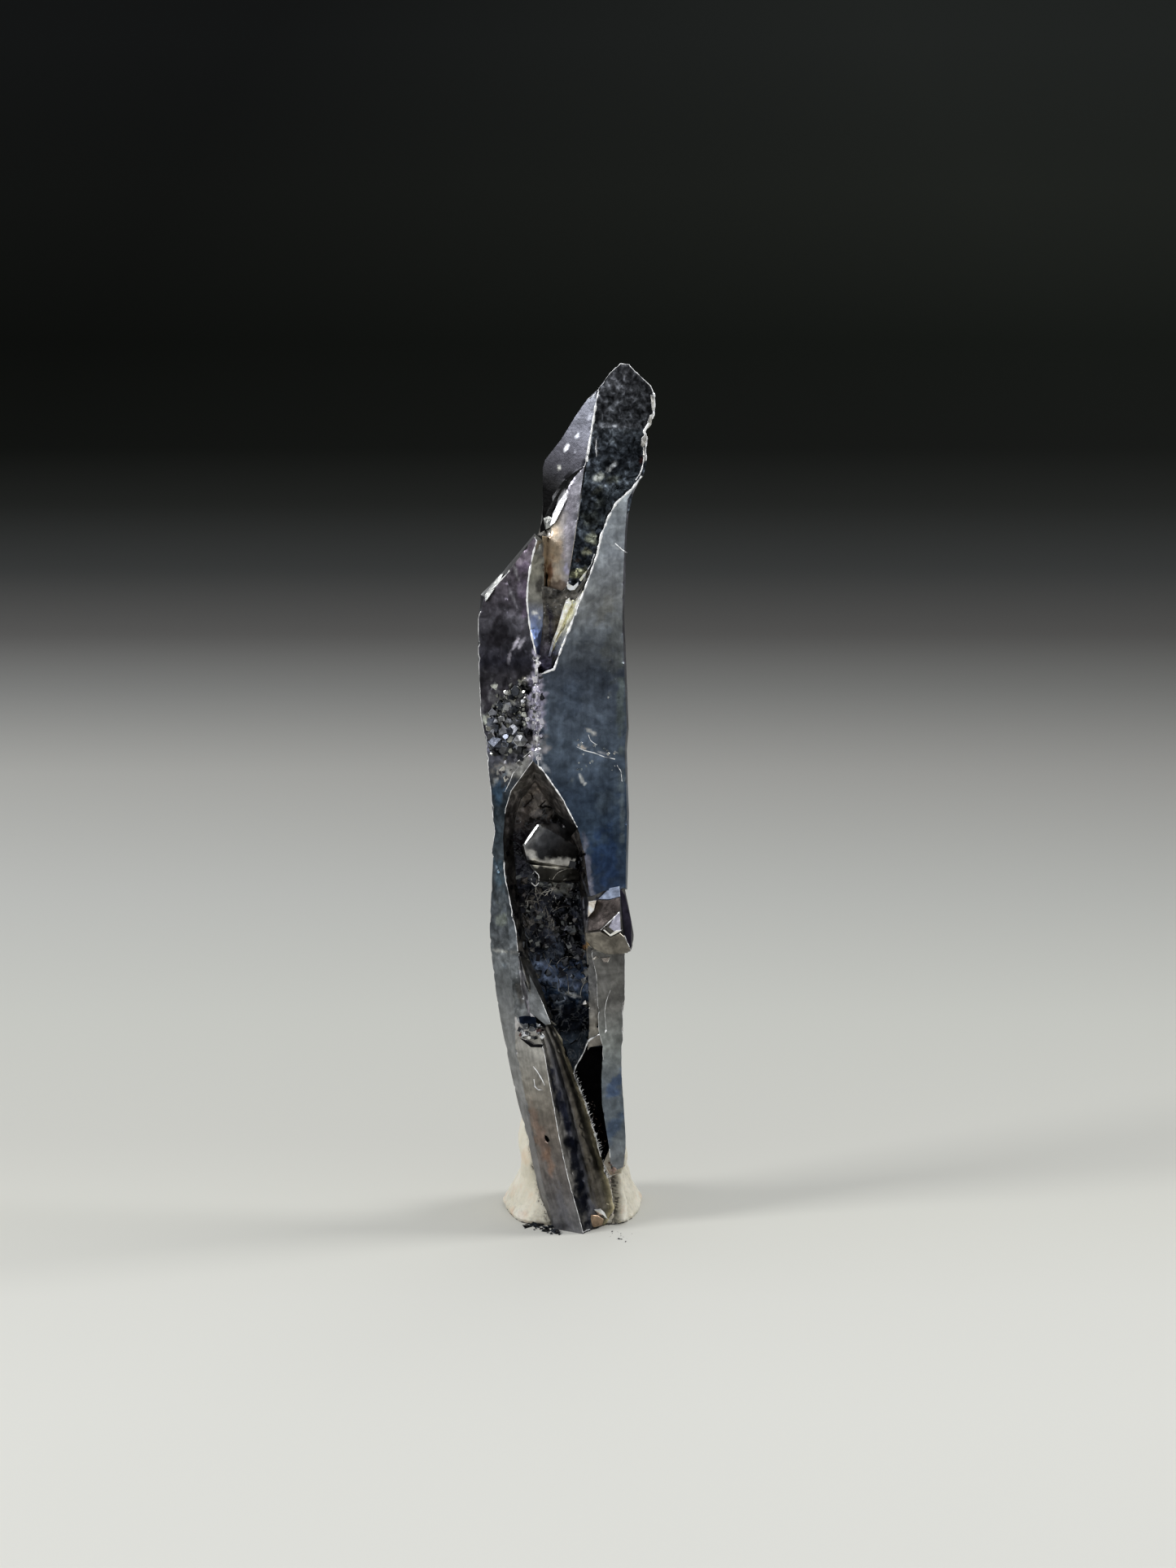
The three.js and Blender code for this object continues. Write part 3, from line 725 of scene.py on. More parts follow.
BOTH = "both sides of the ridge"
PATCHES = {
    # facet: x, s, half length, half width in mm, tilt in degrees, colour and strength
    "tip plate": [
        (2.24, 37.5, 0.34, 0.11, 42, "#d6dadb", 0.95), (1.62, 37.05, 0.26, 0.15, 20, "#b4b8b0", 0.85),
        (1.65, 36.37, 0.34, 0.2, 20, "#5e6158", 0.7), (2.3, 36.85, 0.32, 0.22, 20, "#4c4f48", 0.7),
        (1.25, 33.99, 0.32, 0.25, 20, "#7c7f70", 0.8), (0.94, 33.38, 0.3, 0.24, 20, "#84846f", 0.8),
        (0.68, 32.36, 0.36, 0.28, 20, "#84846a", 0.85), (1.0, 33.42, 0.1, 0.08, 20, "#1c1a18", 0.9),
        (0.55, 32.9, 0.14, 0.1, 20, "#4a403a", 0.8), (1.5, 38.4, 0.5, 0.045, 95, "#8a8c90", 0.8),
        (1.42, 35.3, 0.9, 0.4, 60, "#3c3f3a", 0.6), (2.0, 35.4, 0.45, 0.3, 50, "#101214", 0.7),
        (3.0, 38.3, 0.6, 0.4, 50, "#14161a", 0.6), (3.68, 37.8, 0.3, 0.09, 70, "#5a2a22", 0.7),
    ],
    "leaning face": [
        # Painted highlights: the small pale specks on the leaning face.
        (1.16, 39.93, 0.2, 0.08, 60, "#a9acb6", 0.8), (0.58, 39.1, 0.16, 0.08, 50, "#b4b7c0", 0.9),
        (0.06, 38.5, 0.22, 0.07, 55, "#d4d6dc", 0.9), (0.45, 38.3, 0.1, 0.06, 55, "#a4a6b0", 0.8),
        (-0.34, 37.5, 0.13, 0.09, 80, "#94958f", 0.8),
    ],
    "tan face": [
        (-0.45, 33.4, 0.9, 0.35, 85, "#c0a27e", 0.45), (-0.75, 32.4, 0.6, 0.12, 86, "#94664c", 0.8),
        (-0.4, 32.1, 0.35, 0.2, 60, "#b4a28c", 0.7), (0.02, 32.5, 0.4, 0.16, 80, "#c4c0d8", 0.8),
        (0.3, 36.2, 1.2, 0.5, 75, "#8a8890", 0.7), (0.05, 34.3, 1.2, 0.16, 84, "#a6a2ac", 0.6),
        (-0.5, 31.55, 0.6, 0.7, 90, "#57483c", 0.85),
    ],
    "valley wall": [
        # Painted glints: the two white spots on the valley wall.
        (-1.5, 30.35, 0.16, 0.09, 170, "#ffffff", 1.0), (-1.3, 30.1, 0.1, 0.07, 0, "#ffffff", 1.0),
        (-1.45, 29.4, 0.6, 0.14, 95, "#7f95d0", 0.8), (-1.25, 31.6, 0.5, 0.2, 80, "#2e2c2c", 0.8),
    ],
    "valley floor": [
        (-0.5, 31.3, 0.5, 0.25, 40, "#1c1a1a", 0.85), (-0.8, 29.9, 0.9, 0.16, 95, "#221f2c", 0.85),
        (-0.4, 29.8, 0.5, 0.16, 70, "#6e6250", 0.6),
    ],
    "left face": [
        (-2.4, 32.2, 0.55, 0.07, 112, "#a09ea4", 0.7), (-2.62, 31.2, 0.6, 0.06, 112, "#94929a", 0.7),
        (-2.25, 31.6, 0.3, 0.08, 75, "#8a8890", 0.6), (-2.05, 31.6, 1.6, 0.26, 92, "#5c5064", 0.6),
        (-3.2, 29.4, 0.8, 0.6, 80, "#201e22", 0.7), (-2.5, 28.8, 0.5, 0.06, 60, "#a8a4b0", 0.8),
        (-2.75, 28.3, 0.35, 0.07, 80, "#9c99a4", 0.7), (-2.15, 28.9, 0.25, 0.08, 60, "#c2bfcc", 0.7),
        (-2.9, 24.9, 1.7, 1.0, 115, "#66666a", 0.8), (-2.2, 26.5, 0.9, 0.4, 58, "#5c5c5e", 0.7),
        (-2.7, 22.7, 1.0, 0.5, 20, "#6e6b67", 0.6), (-2.08, 27.0, 0.24, 0.13, 40, "#dad6cc", 0.95),
        (-2.5, 26.3, 0.5, 0.14, 62, "#94948e", 0.8), (-3.75, 25.2, 0.45, 0.28, 20, "#9ea29a", 0.9),
        (-3.2, 25.5, 0.4, 0.16, 40, "#8c8e86", 0.8), (-3.6, 23.9, 0.3, 0.2, 80, "#7d7f98", 0.6),
        (-2.7, 24.2, 0.35, 0.16, 20, "#9c9d98", 0.8), (-2.2, 24.0, 0.2, 0.3, 20, "#1a1a1c", 0.8),
        (-3.2, 24.6, 0.2, 0.35, 40, "#161618", 0.85), (-2.7, 25.4, 0.2, 0.4, 50, "#18181a", 0.8),
        (-2.2, 22.9, 1.0, 0.36, 30, "#8a8a88", 0.7), (-3.4, 22.2, 0.3, 0.12, 60, "#aaa9a4", 0.6),
        (-3.3, 21.7, 0.8, 0.3, 80, "#33495e", 0.6), (-3.35, 19.5, 0.9, 0.2, 85, "#3c4650", 0.6),
        (-3.3, 17.5, 0.7, 0.25, 95, "#465a68", 0.6), (-3.2, 15.4, 0.5, 0.3, 80, "#6e746c", 0.6),
        (-3.0, 13.7, 0.5, 0.08, 175, "#9c9d9a", 0.6), (-3.3, 12.4, 0.6, 0.28, 70, "#727c88", 0.5),
        (-2.25, 11.6, 0.9, 0.16, 100, "#55524f", 0.7),
    ],
    BOTH: [
        # Painted glints: the ridge's crust is painted white-violet and near white.
        (-1.42, 25.8, 2.7, 0.36, 90, "#b4b0c4", 0.9), (-1.45, 24.0, 0.6, 0.5, 90, "#a9a6a6", 0.7),
        (-1.2, 23.1, 0.8, 0.16, 118, "#b4b9c2", 0.8), (-1.42, 27.6, 0.6, 0.08, 88, "#ffffff", 1.0),
        (-1.5, 26.2, 0.3, 0.1, 70, "#d8d4e0", 0.8), (-1.3, 24.6, 0.5, 0.12, 75, "#e6e2ea", 0.8),
    ],
    "right face": [
        (2.4, 28.8, 1.6, 0.5, 90, "#6e706a", 0.4), (2.7, 25.8, 1.8, 0.2, 90, "#6e7874", 0.6),
        (2.75, 20.5, 2.4, 0.14, 90, "#6a7478", 0.5), (0.2, 26.2, 1.0, 0.6, 70, "#3a4452", 0.5),
        (1.6, 27.2, 0.9, 0.5, 20, "#3c434c", 0.5), (1.9, 30.6, 0.8, 0.25, 60, "#8a8a84", 0.5),
        (0.5, 28.9, 0.6, 0.3, 30, "#454c54", 0.5), (1.2, 24.55, 0.22, 0.07, 150, "#c0c0be", 0.9),
        (1.36, 24.45, 0.1, 0.1, 60, "#d0d0ce", 0.8), (0.7, 23.85, 0.3, 0.05, 152, "#d2c6ba", 0.9),
        (0.45, 24.0, 0.12, 0.05, 60, "#c8c2b8", 0.9), (1.3, 23.75, 0.35, 0.05, 170, "#b8babe", 0.8),
        (1.9, 23.45, 0.4, 0.045, 160, "#b4b6bc", 0.8), (1.3, 23.1, 0.16, 0.08, 20, "#9a9d98", 0.8),
        (0.76, 22.2, 0.26, 0.07, 110, "#c0c2c2", 0.9), (0.9, 22.0, 0.1, 0.07, 30, "#b0b2b2", 0.9),
        (0.3, 22.2, 0.16, 0.1, 70, "#70787a", 0.8), (1.1, 31.0, 1.6, 0.3, 70, "#8e9294", 0.4),
        (2.35, 33.6, 0.5, 0.04, 150, "#c4c8cc", 0.8), (1.5, 32.9, 0.7, 0.35, 70, "#a2a8ac", 0.4),
        (0.72, 18.3, 1.2, 0.16, 100, "#6e6468", 0.8), (1.1, 17.8, 1.3, 0.16, 97, "#7c7c88", 0.7),
        (1.9, 18.3, 1.3, 0.6, 95, "#263c62", 0.5), (2.0, 21.2, 0.7, 0.5, 40, "#55606a", 0.4),
        (1.3, 20.2, 0.5, 0.3, 120, "#3a4654", 0.5),
    ],
    "hopper wall": [
        (-2.1, 22.2, 0.9, 0.35, 50, "#6c675f", 0.7), (-2.8, 18.6, 1.2, 0.3, 85, "#57544f", 0.6),
        (-2.15, 14.0, 1.2, 0.35, 112, "#8a857e", 0.8),
    ],
    "hopper floor": [
        # Painted shade: the near-black patches are the deep voids of the hollow.
        (-1.6, 21.9, 0.7, 0.4, 60, "#5f574f", 0.6), (-2.1, 20.6, 0.7, 0.25, 75, "#4c4542", 0.6),
        (-0.5, 20.0, 0.9, 0.6, 120, "#050505", 0.95), (-0.2, 16.9, 0.9, 0.4, 170, "#55554f", 0.6),
        (0.05, 14.8, 1.5, 0.45, 100, "#040404", 0.95), (-2.0, 15.6, 1.0, 0.3, 100, "#45413d", 0.6),
        (-1.2, 14.8, 0.7, 0.3, 60, "#111012", 0.8), (1.0, 13.9, 0.45, 0.14, 60, "#5c4020", 0.8),
        (-1.5, 12.9, 0.8, 0.25, 150, "#465160", 0.7), (-0.9, 12.6, 1.0, 0.5, 150, "#535d71", 0.8),
        (0.2, 12.2, 0.9, 0.35, 160, "#4f596d", 0.8), (0.4, 14.6, 1.2, 0.5, 100, "#020203", 0.98),
        (0.4, 12.7, 0.5, 0.2, 20, "#454f60", 0.7), (0.5, 11.5, 0.8, 0.12, 165, "#7c7e80", 0.8),
        (-0.3, 11.3, 0.4, 0.15, 30, "#5f6672", 0.8),
    ],
    "wedge": [
        (-1.75, 18.5, 0.5, 0.2, 142, "#d6d2c8", 0.9), (-0.6, 17.5, 1.1, 0.45, 176, "#262523", 0.95),
        (-0.7, 18.12, 1.3, 0.21, 176, "#c6c2b9", 0.95),
    ],
    "ribs": [
        (-1.9, 13.2, 0.9, 0.3, 115, "#8a857e", 0.7), (-1.2, 10.15, 0.4, 0.2, 145, "#11151f", 0.95),
        (-0.2, 5.9, 1.9, 0.2, 109, "#141826", 0.9), (0.5, 3.1, 1.9, 0.3, 102, "#0c0e16", 0.95),
        (0.8, 1.2, 1.4, 0.34, 97, "#0e1018", 0.95), (1.15, 2.2, 1.6, 0.1, 100, "#3c382f", 0.8),
    ],
    "side crystal": [(1.0, 14.0, 0.35, 0.14, 60, "#8a6a32", 0.6)],
    "lower right": [
        (2.4, 7.0, 0.7, 0.3, 60, "#34507c", 0.55), (2.4, 5.0, 0.8, 0.3, 55, "#3a5274", 0.5),
        (2.3, 11.3, 0.6, 0.16, 95, "#7c7b78", 0.6), (1.9, 12.2, 0.7, 0.16, 90, "#7c7b79", 0.6),
        (2.6, 4.3, 0.35, 0.1, 160, "#8a9296", 0.6),
    ],
    "flat lath": [
        (-1.3, 7.2, 0.2, 0.1, 60, "#55504c", 0.7), (-1.3, 4.6, 1.6, 0.3, 107, "#80685c", 0.5),
        (-0.8, 3.2, 0.6, 0.2, 107, "#8a6c58", 0.4), (-0.2, 1.2, 1.2, 0.25, 105, "#84848e", 0.5),
    ],
}
RIB_COLOURS = [
    # share of the way from the crest to the right edge
    (0.0, "#716e6a"), (0.15, "#64625f"), (0.3, "#54545a"), (0.45, "#46474d"),
    (0.6, "#5b564e"), (0.75, "#524e47"), (0.88, "#696352"), (0.94, "#9a9074"),
    (1.0, "#c4bb9c"),
]


def along_stops(value, stops):
    """The linear colour at each value, between stops of a position and a hex colour."""
    places = [place for place, _ in stops]
    colours = np.array([linear(colour)[:3] for _, colour in stops])
    return np.stack([np.interp(value, places, colours[:, i]) for i in range(3)], axis=-1)


def tarnish_and_painted_light(points, triangles, facet):
    """Linear colour (tarnish with painted reflection and shade), roughness and wear (mottling, frost
    with painted glints, lines) at each triangle's corners.
    """
    x, s, _ = on_sheet(points)
    x, s = x[triangles], s[triangles]
    ragged = 0.5 * fuzz(points, 0.45, 2.5, 3)[triangles]
    colour = np.zeros((*triangles.shape, 3))
    rough = np.zeros(triangles.shape)
    wear = np.zeros((*triangles.shape, 3))
    on = {name: facet == number for name, number in NUMBER.items()}
    for name, (roughness, mottle, frost_and_glint, lines, (across, up), stops) in GRADIENTS.items():
        pick = on[name]
        colour[pick] = along_stops(across * x[pick] + up * s[pick], stops)
        rough[pick] = roughness
        wear[pick] = mottle, frost_and_glint, lines
    pick = on["ribs"]
    *_, crest, right = bundle_edges(s[pick])
    share = np.clip((x[pick] - crest) / (right - crest), 0, 1)
    lower = soft(s[pick], 10.5, 7.5)[..., None]
    colour[pick] += lower * (along_stops(share, RIB_COLOURS) - colour[pick])
    centre = points[triangles].mean(axis=1)
    x0, s0, _ = on_sheet(centre)
    uneven = 0.9 * np.maximum(rough_left(x0, s0) * on["left face"], rough_ridge(x0, s0))
    uneven += 0.6 * on["hopper floor"] * soft(s0, 9.0, 11.0) + 0.8 * on["crust"]
    broken = uneven > 0.05
    step = blocky(centre[broken], 0.42, 5.0)
    colour[broken] *= (2.0 ** (uneven[broken] * step))[:, None, None]
    on[BOTH] = on["left face"] | on["right face"] | on["crust"]
    for name, patches in PATCHES.items():
        for at_x, at_s, length, width, tilt, shade, strength in patches:
            near = on[name] & (np.abs(s - at_s).max(axis=1) < 2 * length + 1)
            amount = strength * spot_of(
                x[near], s[near], at_x, at_s, length, width, tilt, ragged[near])
            colour[near] += amount[..., None] * (np.array(linear(shade)[:3]) - colour[near])
    return colour, rough, wear


colour, rough, wear = tarnish_and_painted_light(points, triangles, facet)
print("tarnish from", colour.min().round(3), "to", colour.max().round(3))

# %% [markdown]
# ### The galena's material
# A tarnished metal is still a metal: metallic is 1 and the IOR keeps its default. The colour
# comes from the tarnish and the painted reflection and shade on the corners. Two sizes of
# mottling darken and lighten it, frost is where the film has flaked, with painted glints of tiny
# crystals in it, and growth lines run up the laths. Mottling multiplies by a power of two,
# because an eye sees steps of brightness as ratios.

# %% Tarnished galena
def grain(tree, per_mm, detail, roughness=0.5, distortion=0.0):
    """Noise from 0 to 1, with so many features to a millimetre."""
    spot = add(tree, "ShaderNodeTexCoord").outputs["Object"]
    return add(tree, "ShaderNodeTexNoise", {
        "Vector": spot, "Scale": per_mm / MM, "Detail": detail, "Roughness": roughness,
        "Distortion": distortion}).outputs["Fac"]


def bumps(tree, strength, high, height):
    """The light and shade of bumps so many millimetres high."""
    return add(tree, "ShaderNodeBump", {
        "Strength": strength, "Distance": high * MM, "Height": height}).outputs[0]


def galena_material(name, bump_mm, flecks_per_mm, contrast, veins=0.0):
    """Galena with flecks, with bumps of so many mm, and with grey veins if veins is above 0."""
    material, tree, shader = new_material(name)
    film = add(tree, "ShaderNodeAttribute", attribute_name="tarnish_and_painted_light")
    polish = add(tree, "ShaderNodeAttribute", attribute_name="polish")
    wear = add(tree, "ShaderNodeAttribute", attribute_name="wear")
    wear = add(tree, "ShaderNodeSeparateXYZ", {0: wear.outputs["Vector"]})
    mottle, frost_and_glint, lines = wear.outputs

    def above(value, limit, width):
        """0 where the value is below the limit, 1 where it is more than the width above it."""
        top = limit + width if isinstance(limit, float) else maths(tree, "ADD", limit, width)
        return add(tree, "ShaderNodeMapRange", {0: value, 1: limit, 2: top}).outputs[0]

    flecks = grain(tree, flecks_per_mm, 3, 0.55, 0.4)
    clouds = maths(tree, "MULTIPLY_ADD", grain(tree, 0.65, 4, 0.6, 0.8), 7.0, -3.5)
    both = maths(tree, "MULTIPLY_ADD", maths(tree, "SUBTRACT", flecks, 0.5), contrast, clouds)
    shade = maths(tree, "POWER", 2.0, maths(tree, "MULTIPLY", both, mottle))
    tinted = add(tree, "ShaderNodeVectorMath", {
        0: film.outputs["Color"], "Scale": shade}, operation="SCALE").outputs[0]

    if veins:
        fold = maths(tree, "MULTIPLY_ADD", grain(tree, 1.1, 3, 0.6, 2.0), 2.0, -1.0)
        ridge = maths(tree, "SUBTRACT", 1.0, maths(tree, "ABSOLUTE", fold))
        vein = maths(tree, "MULTIPLY", above(ridge, 0.94, 0.05), veins)
        tinted = mixed(tree, vein, tinted, linear("#64666a"))

    limit = maths(tree, "MULTIPLY_ADD", frost_and_glint, -0.16, 0.68)
    wisps = above(grain(tree, 1.7, 7, 0.68, 0.6), limit, 0.12)
    pale = mixed(tree, maths(tree, "MULTIPLY", wisps, frost_and_glint), tinted, linear("#9298a0"))
    # Painted glints: tiny specks of the base colour turned near white, more where frost is high.
    limit = maths(tree, "MULTIPLY_ADD", frost_and_glint, -0.1, 0.74)
    glint = above(grain(tree, 6.5, 2, 0.7), limit, 0.05)
    pale = mixed(tree, maths(tree, "MULTIPLY", glint, frost_and_glint), pale, linear("#e2e5ea"))

    growth = add(tree, "ShaderNodeUVMap", uv_map="growth")
    stretch = add(tree, "ShaderNodeMapping", {
        "Vector": growth.outputs[0], "Scale": (6.0, 0.25, 1.0)})
    streaks = add(tree, "ShaderNodeTexNoise", {
        "Vector": stretch.outputs[0], "Scale": 1.0, "Detail": 4.0, "Roughness": 0.65,
    }).outputs["Fac"]
    stripe = maths(tree, "MULTIPLY", maths(tree, "MULTIPLY_ADD", streaks, 6.0, -3.0), lines)
    striped = add(tree, "ShaderNodeVectorMath", {
        0: pale, "Scale": maths(tree, "POWER", 2.0, stripe)}, operation="SCALE").outputs[0]

    height = maths(tree, "MULTIPLY_ADD", streaks, maths(tree, "MULTIPLY", lines, 2.0),
                   grain(tree, 5.0, 5, 0.6))
    gloss = maths(tree, "MULTIPLY_ADD", flecks, 0.2, maths(tree, "SUBTRACT", polish.outputs["Fac"], 0.1))
    set_inputs(tree, shader, {
        "Base Color": striped, "Metallic": 1.0, "Roughness": gloss,
        "Normal": bumps(tree, 0.6, bump_mm, height)})
    return material


FACE_GALENA = galena_material("tarnished_galena", bump_mm=0.02, flecks_per_mm=2.6, contrast=6)
PITTED_GALENA = galena_material("pitted_galena", bump_mm=0.03, flecks_per_mm=3.7, contrast=12)
DRUSY_GALENA = galena_material("drusy_galena", 0.05, flecks_per_mm=3.0, contrast=7, veins=0.3)
MATERIALS = [FACE_GALENA, PITTED_GALENA, DRUSY_GALENA]
PITTED = {"tip plate", "notch wall"}
DRUSY = {"hopper floor", "hopper wall", "valley floor"}
print(len(MATERIALS), "kinds of galena")


# %% The crystal
FIELDS = {"FLOAT": "value", "FLOAT_VECTOR": "vector", "FLOAT_COLOR": "color"}


def store(mesh, name, values, kind="FLOAT", domain="POINT"):
    """Stores a number, a vector or a colour for each point or corner of a mesh."""
    mesh.attributes.new(name, kind, domain).data.foreach_set(FIELDS[kind], np.ravel(values))


def set_finish(mesh, colour, rough, wear, growth):
    """Stores the tarnish with painted light, polish, wear and growth direction on a mesh's corners."""
    store(mesh, "tarnish_and_painted_light", np.hstack([colour, np.ones((len(colour), 1))]), "FLOAT_COLOR", "CORNER")
    store(mesh, "polish", rough, "FLOAT", "CORNER")
    store(mesh, "wear", wear, "FLOAT_VECTOR", "CORNER")
    mesh.uv_layers.new(name="growth").uv.foreach_set("vector", growth.reshape(-1))


mesh = new_mesh("galena", points, [], triangles.tolist())
x, s, _ = on_sheet(flat_points)
across = np.where(s < BUNDLE_TOP, x - bundle_edges(s)[2], x)
growth = np.dstack([across[triangles], s[triangles]]).reshape(-1, 2)
set_finish(mesh, colour.reshape(-1, 3), rough, wear, growth)
kind = np.zeros(len(triangles), int)
for number, names in ((1, PITTED), (2, DRUSY)):
    kind[np.isin(facet, [NUMBER[name] for name in names])] = number
mesh.polygons.foreach_set("use_smooth", np.ones(len(triangles), bool))
mesh.set_sharp_from_angle(angle=math.radians(28))
galena = new_object("galena", mesh, FACE_GALENA)
for material in MATERIALS[1:]:
    mesh.materials.append(material)
mesh.polygons.foreach_set("material_index", kind)
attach(galena, "root")
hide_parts("galena_crystal")
print("galena:", len(mesh.polygons), "triangles")

# %% [markdown]
# ## Small faces and flakes
# A cluster of small crystals sits on the right edge, blocks and chips stand on the broken places,
# and each is a flat face or two with a crisp outline. They are too small and too sharp for the
# skin's even mesh, so each is a shard of its own: an outline on the sheet, laid on whatever the
# crystal shows there, raised a little, with a narrow bevel that catches the light, and with its
# root sunk in the crystal. Many carry painted light: the near-white ones are painted glints, the
# black ones painted shade, and each bevel is painted brighter and each side darker than its face.

# %% Finding the surface
def search_tree(*things):
    """A tree that finds where lines meet the meshes, in millimetres."""
    spots, faces = [], []
    for thing in things:
        faces += [[i + len(spots) for i in polygon.vertices] for polygon in thing.data.polygons]
        spots += [vertex.co / MM for vertex in thing.data.vertices]
    return bvhtree.BVHTree.FromPolygons(spots, faces)


surface = search_tree(galena)
INTO_SHEET = (Vector(place(0, 0, 1)) - Vector(place(0, 0, 0))).normalized()
IN_FRONT = -8  # depth in mm from which the lines start, before every face
CLIFF = 0.8  # mm of depth that a draped line does not follow


def front_depth(tree, x, s):
    """The depth at which a line through a point of the sheet meets a surface, or None."""
    hit = tree.ray_cast(Vector(place(x, s, IN_FRONT)), INTO_SHEET)[0]
    return None if hit is None else on_sheet(np.array([hit]))[2][0]


def drape(tree, outline):
    """Depths for the points of a line; one past the crystal's edge gets the others' median."""
    depths = [front_depth(tree, x, s) for x, s in outline]
    usual = np.median([d for d in depths if d is not None])
    return np.array([usual if d is None or abs(d - usual) > CLIFF else d for d in depths])


print("front surface at the right face:", round(front_depth(surface, 1.0, 24.0), 3), "mm")

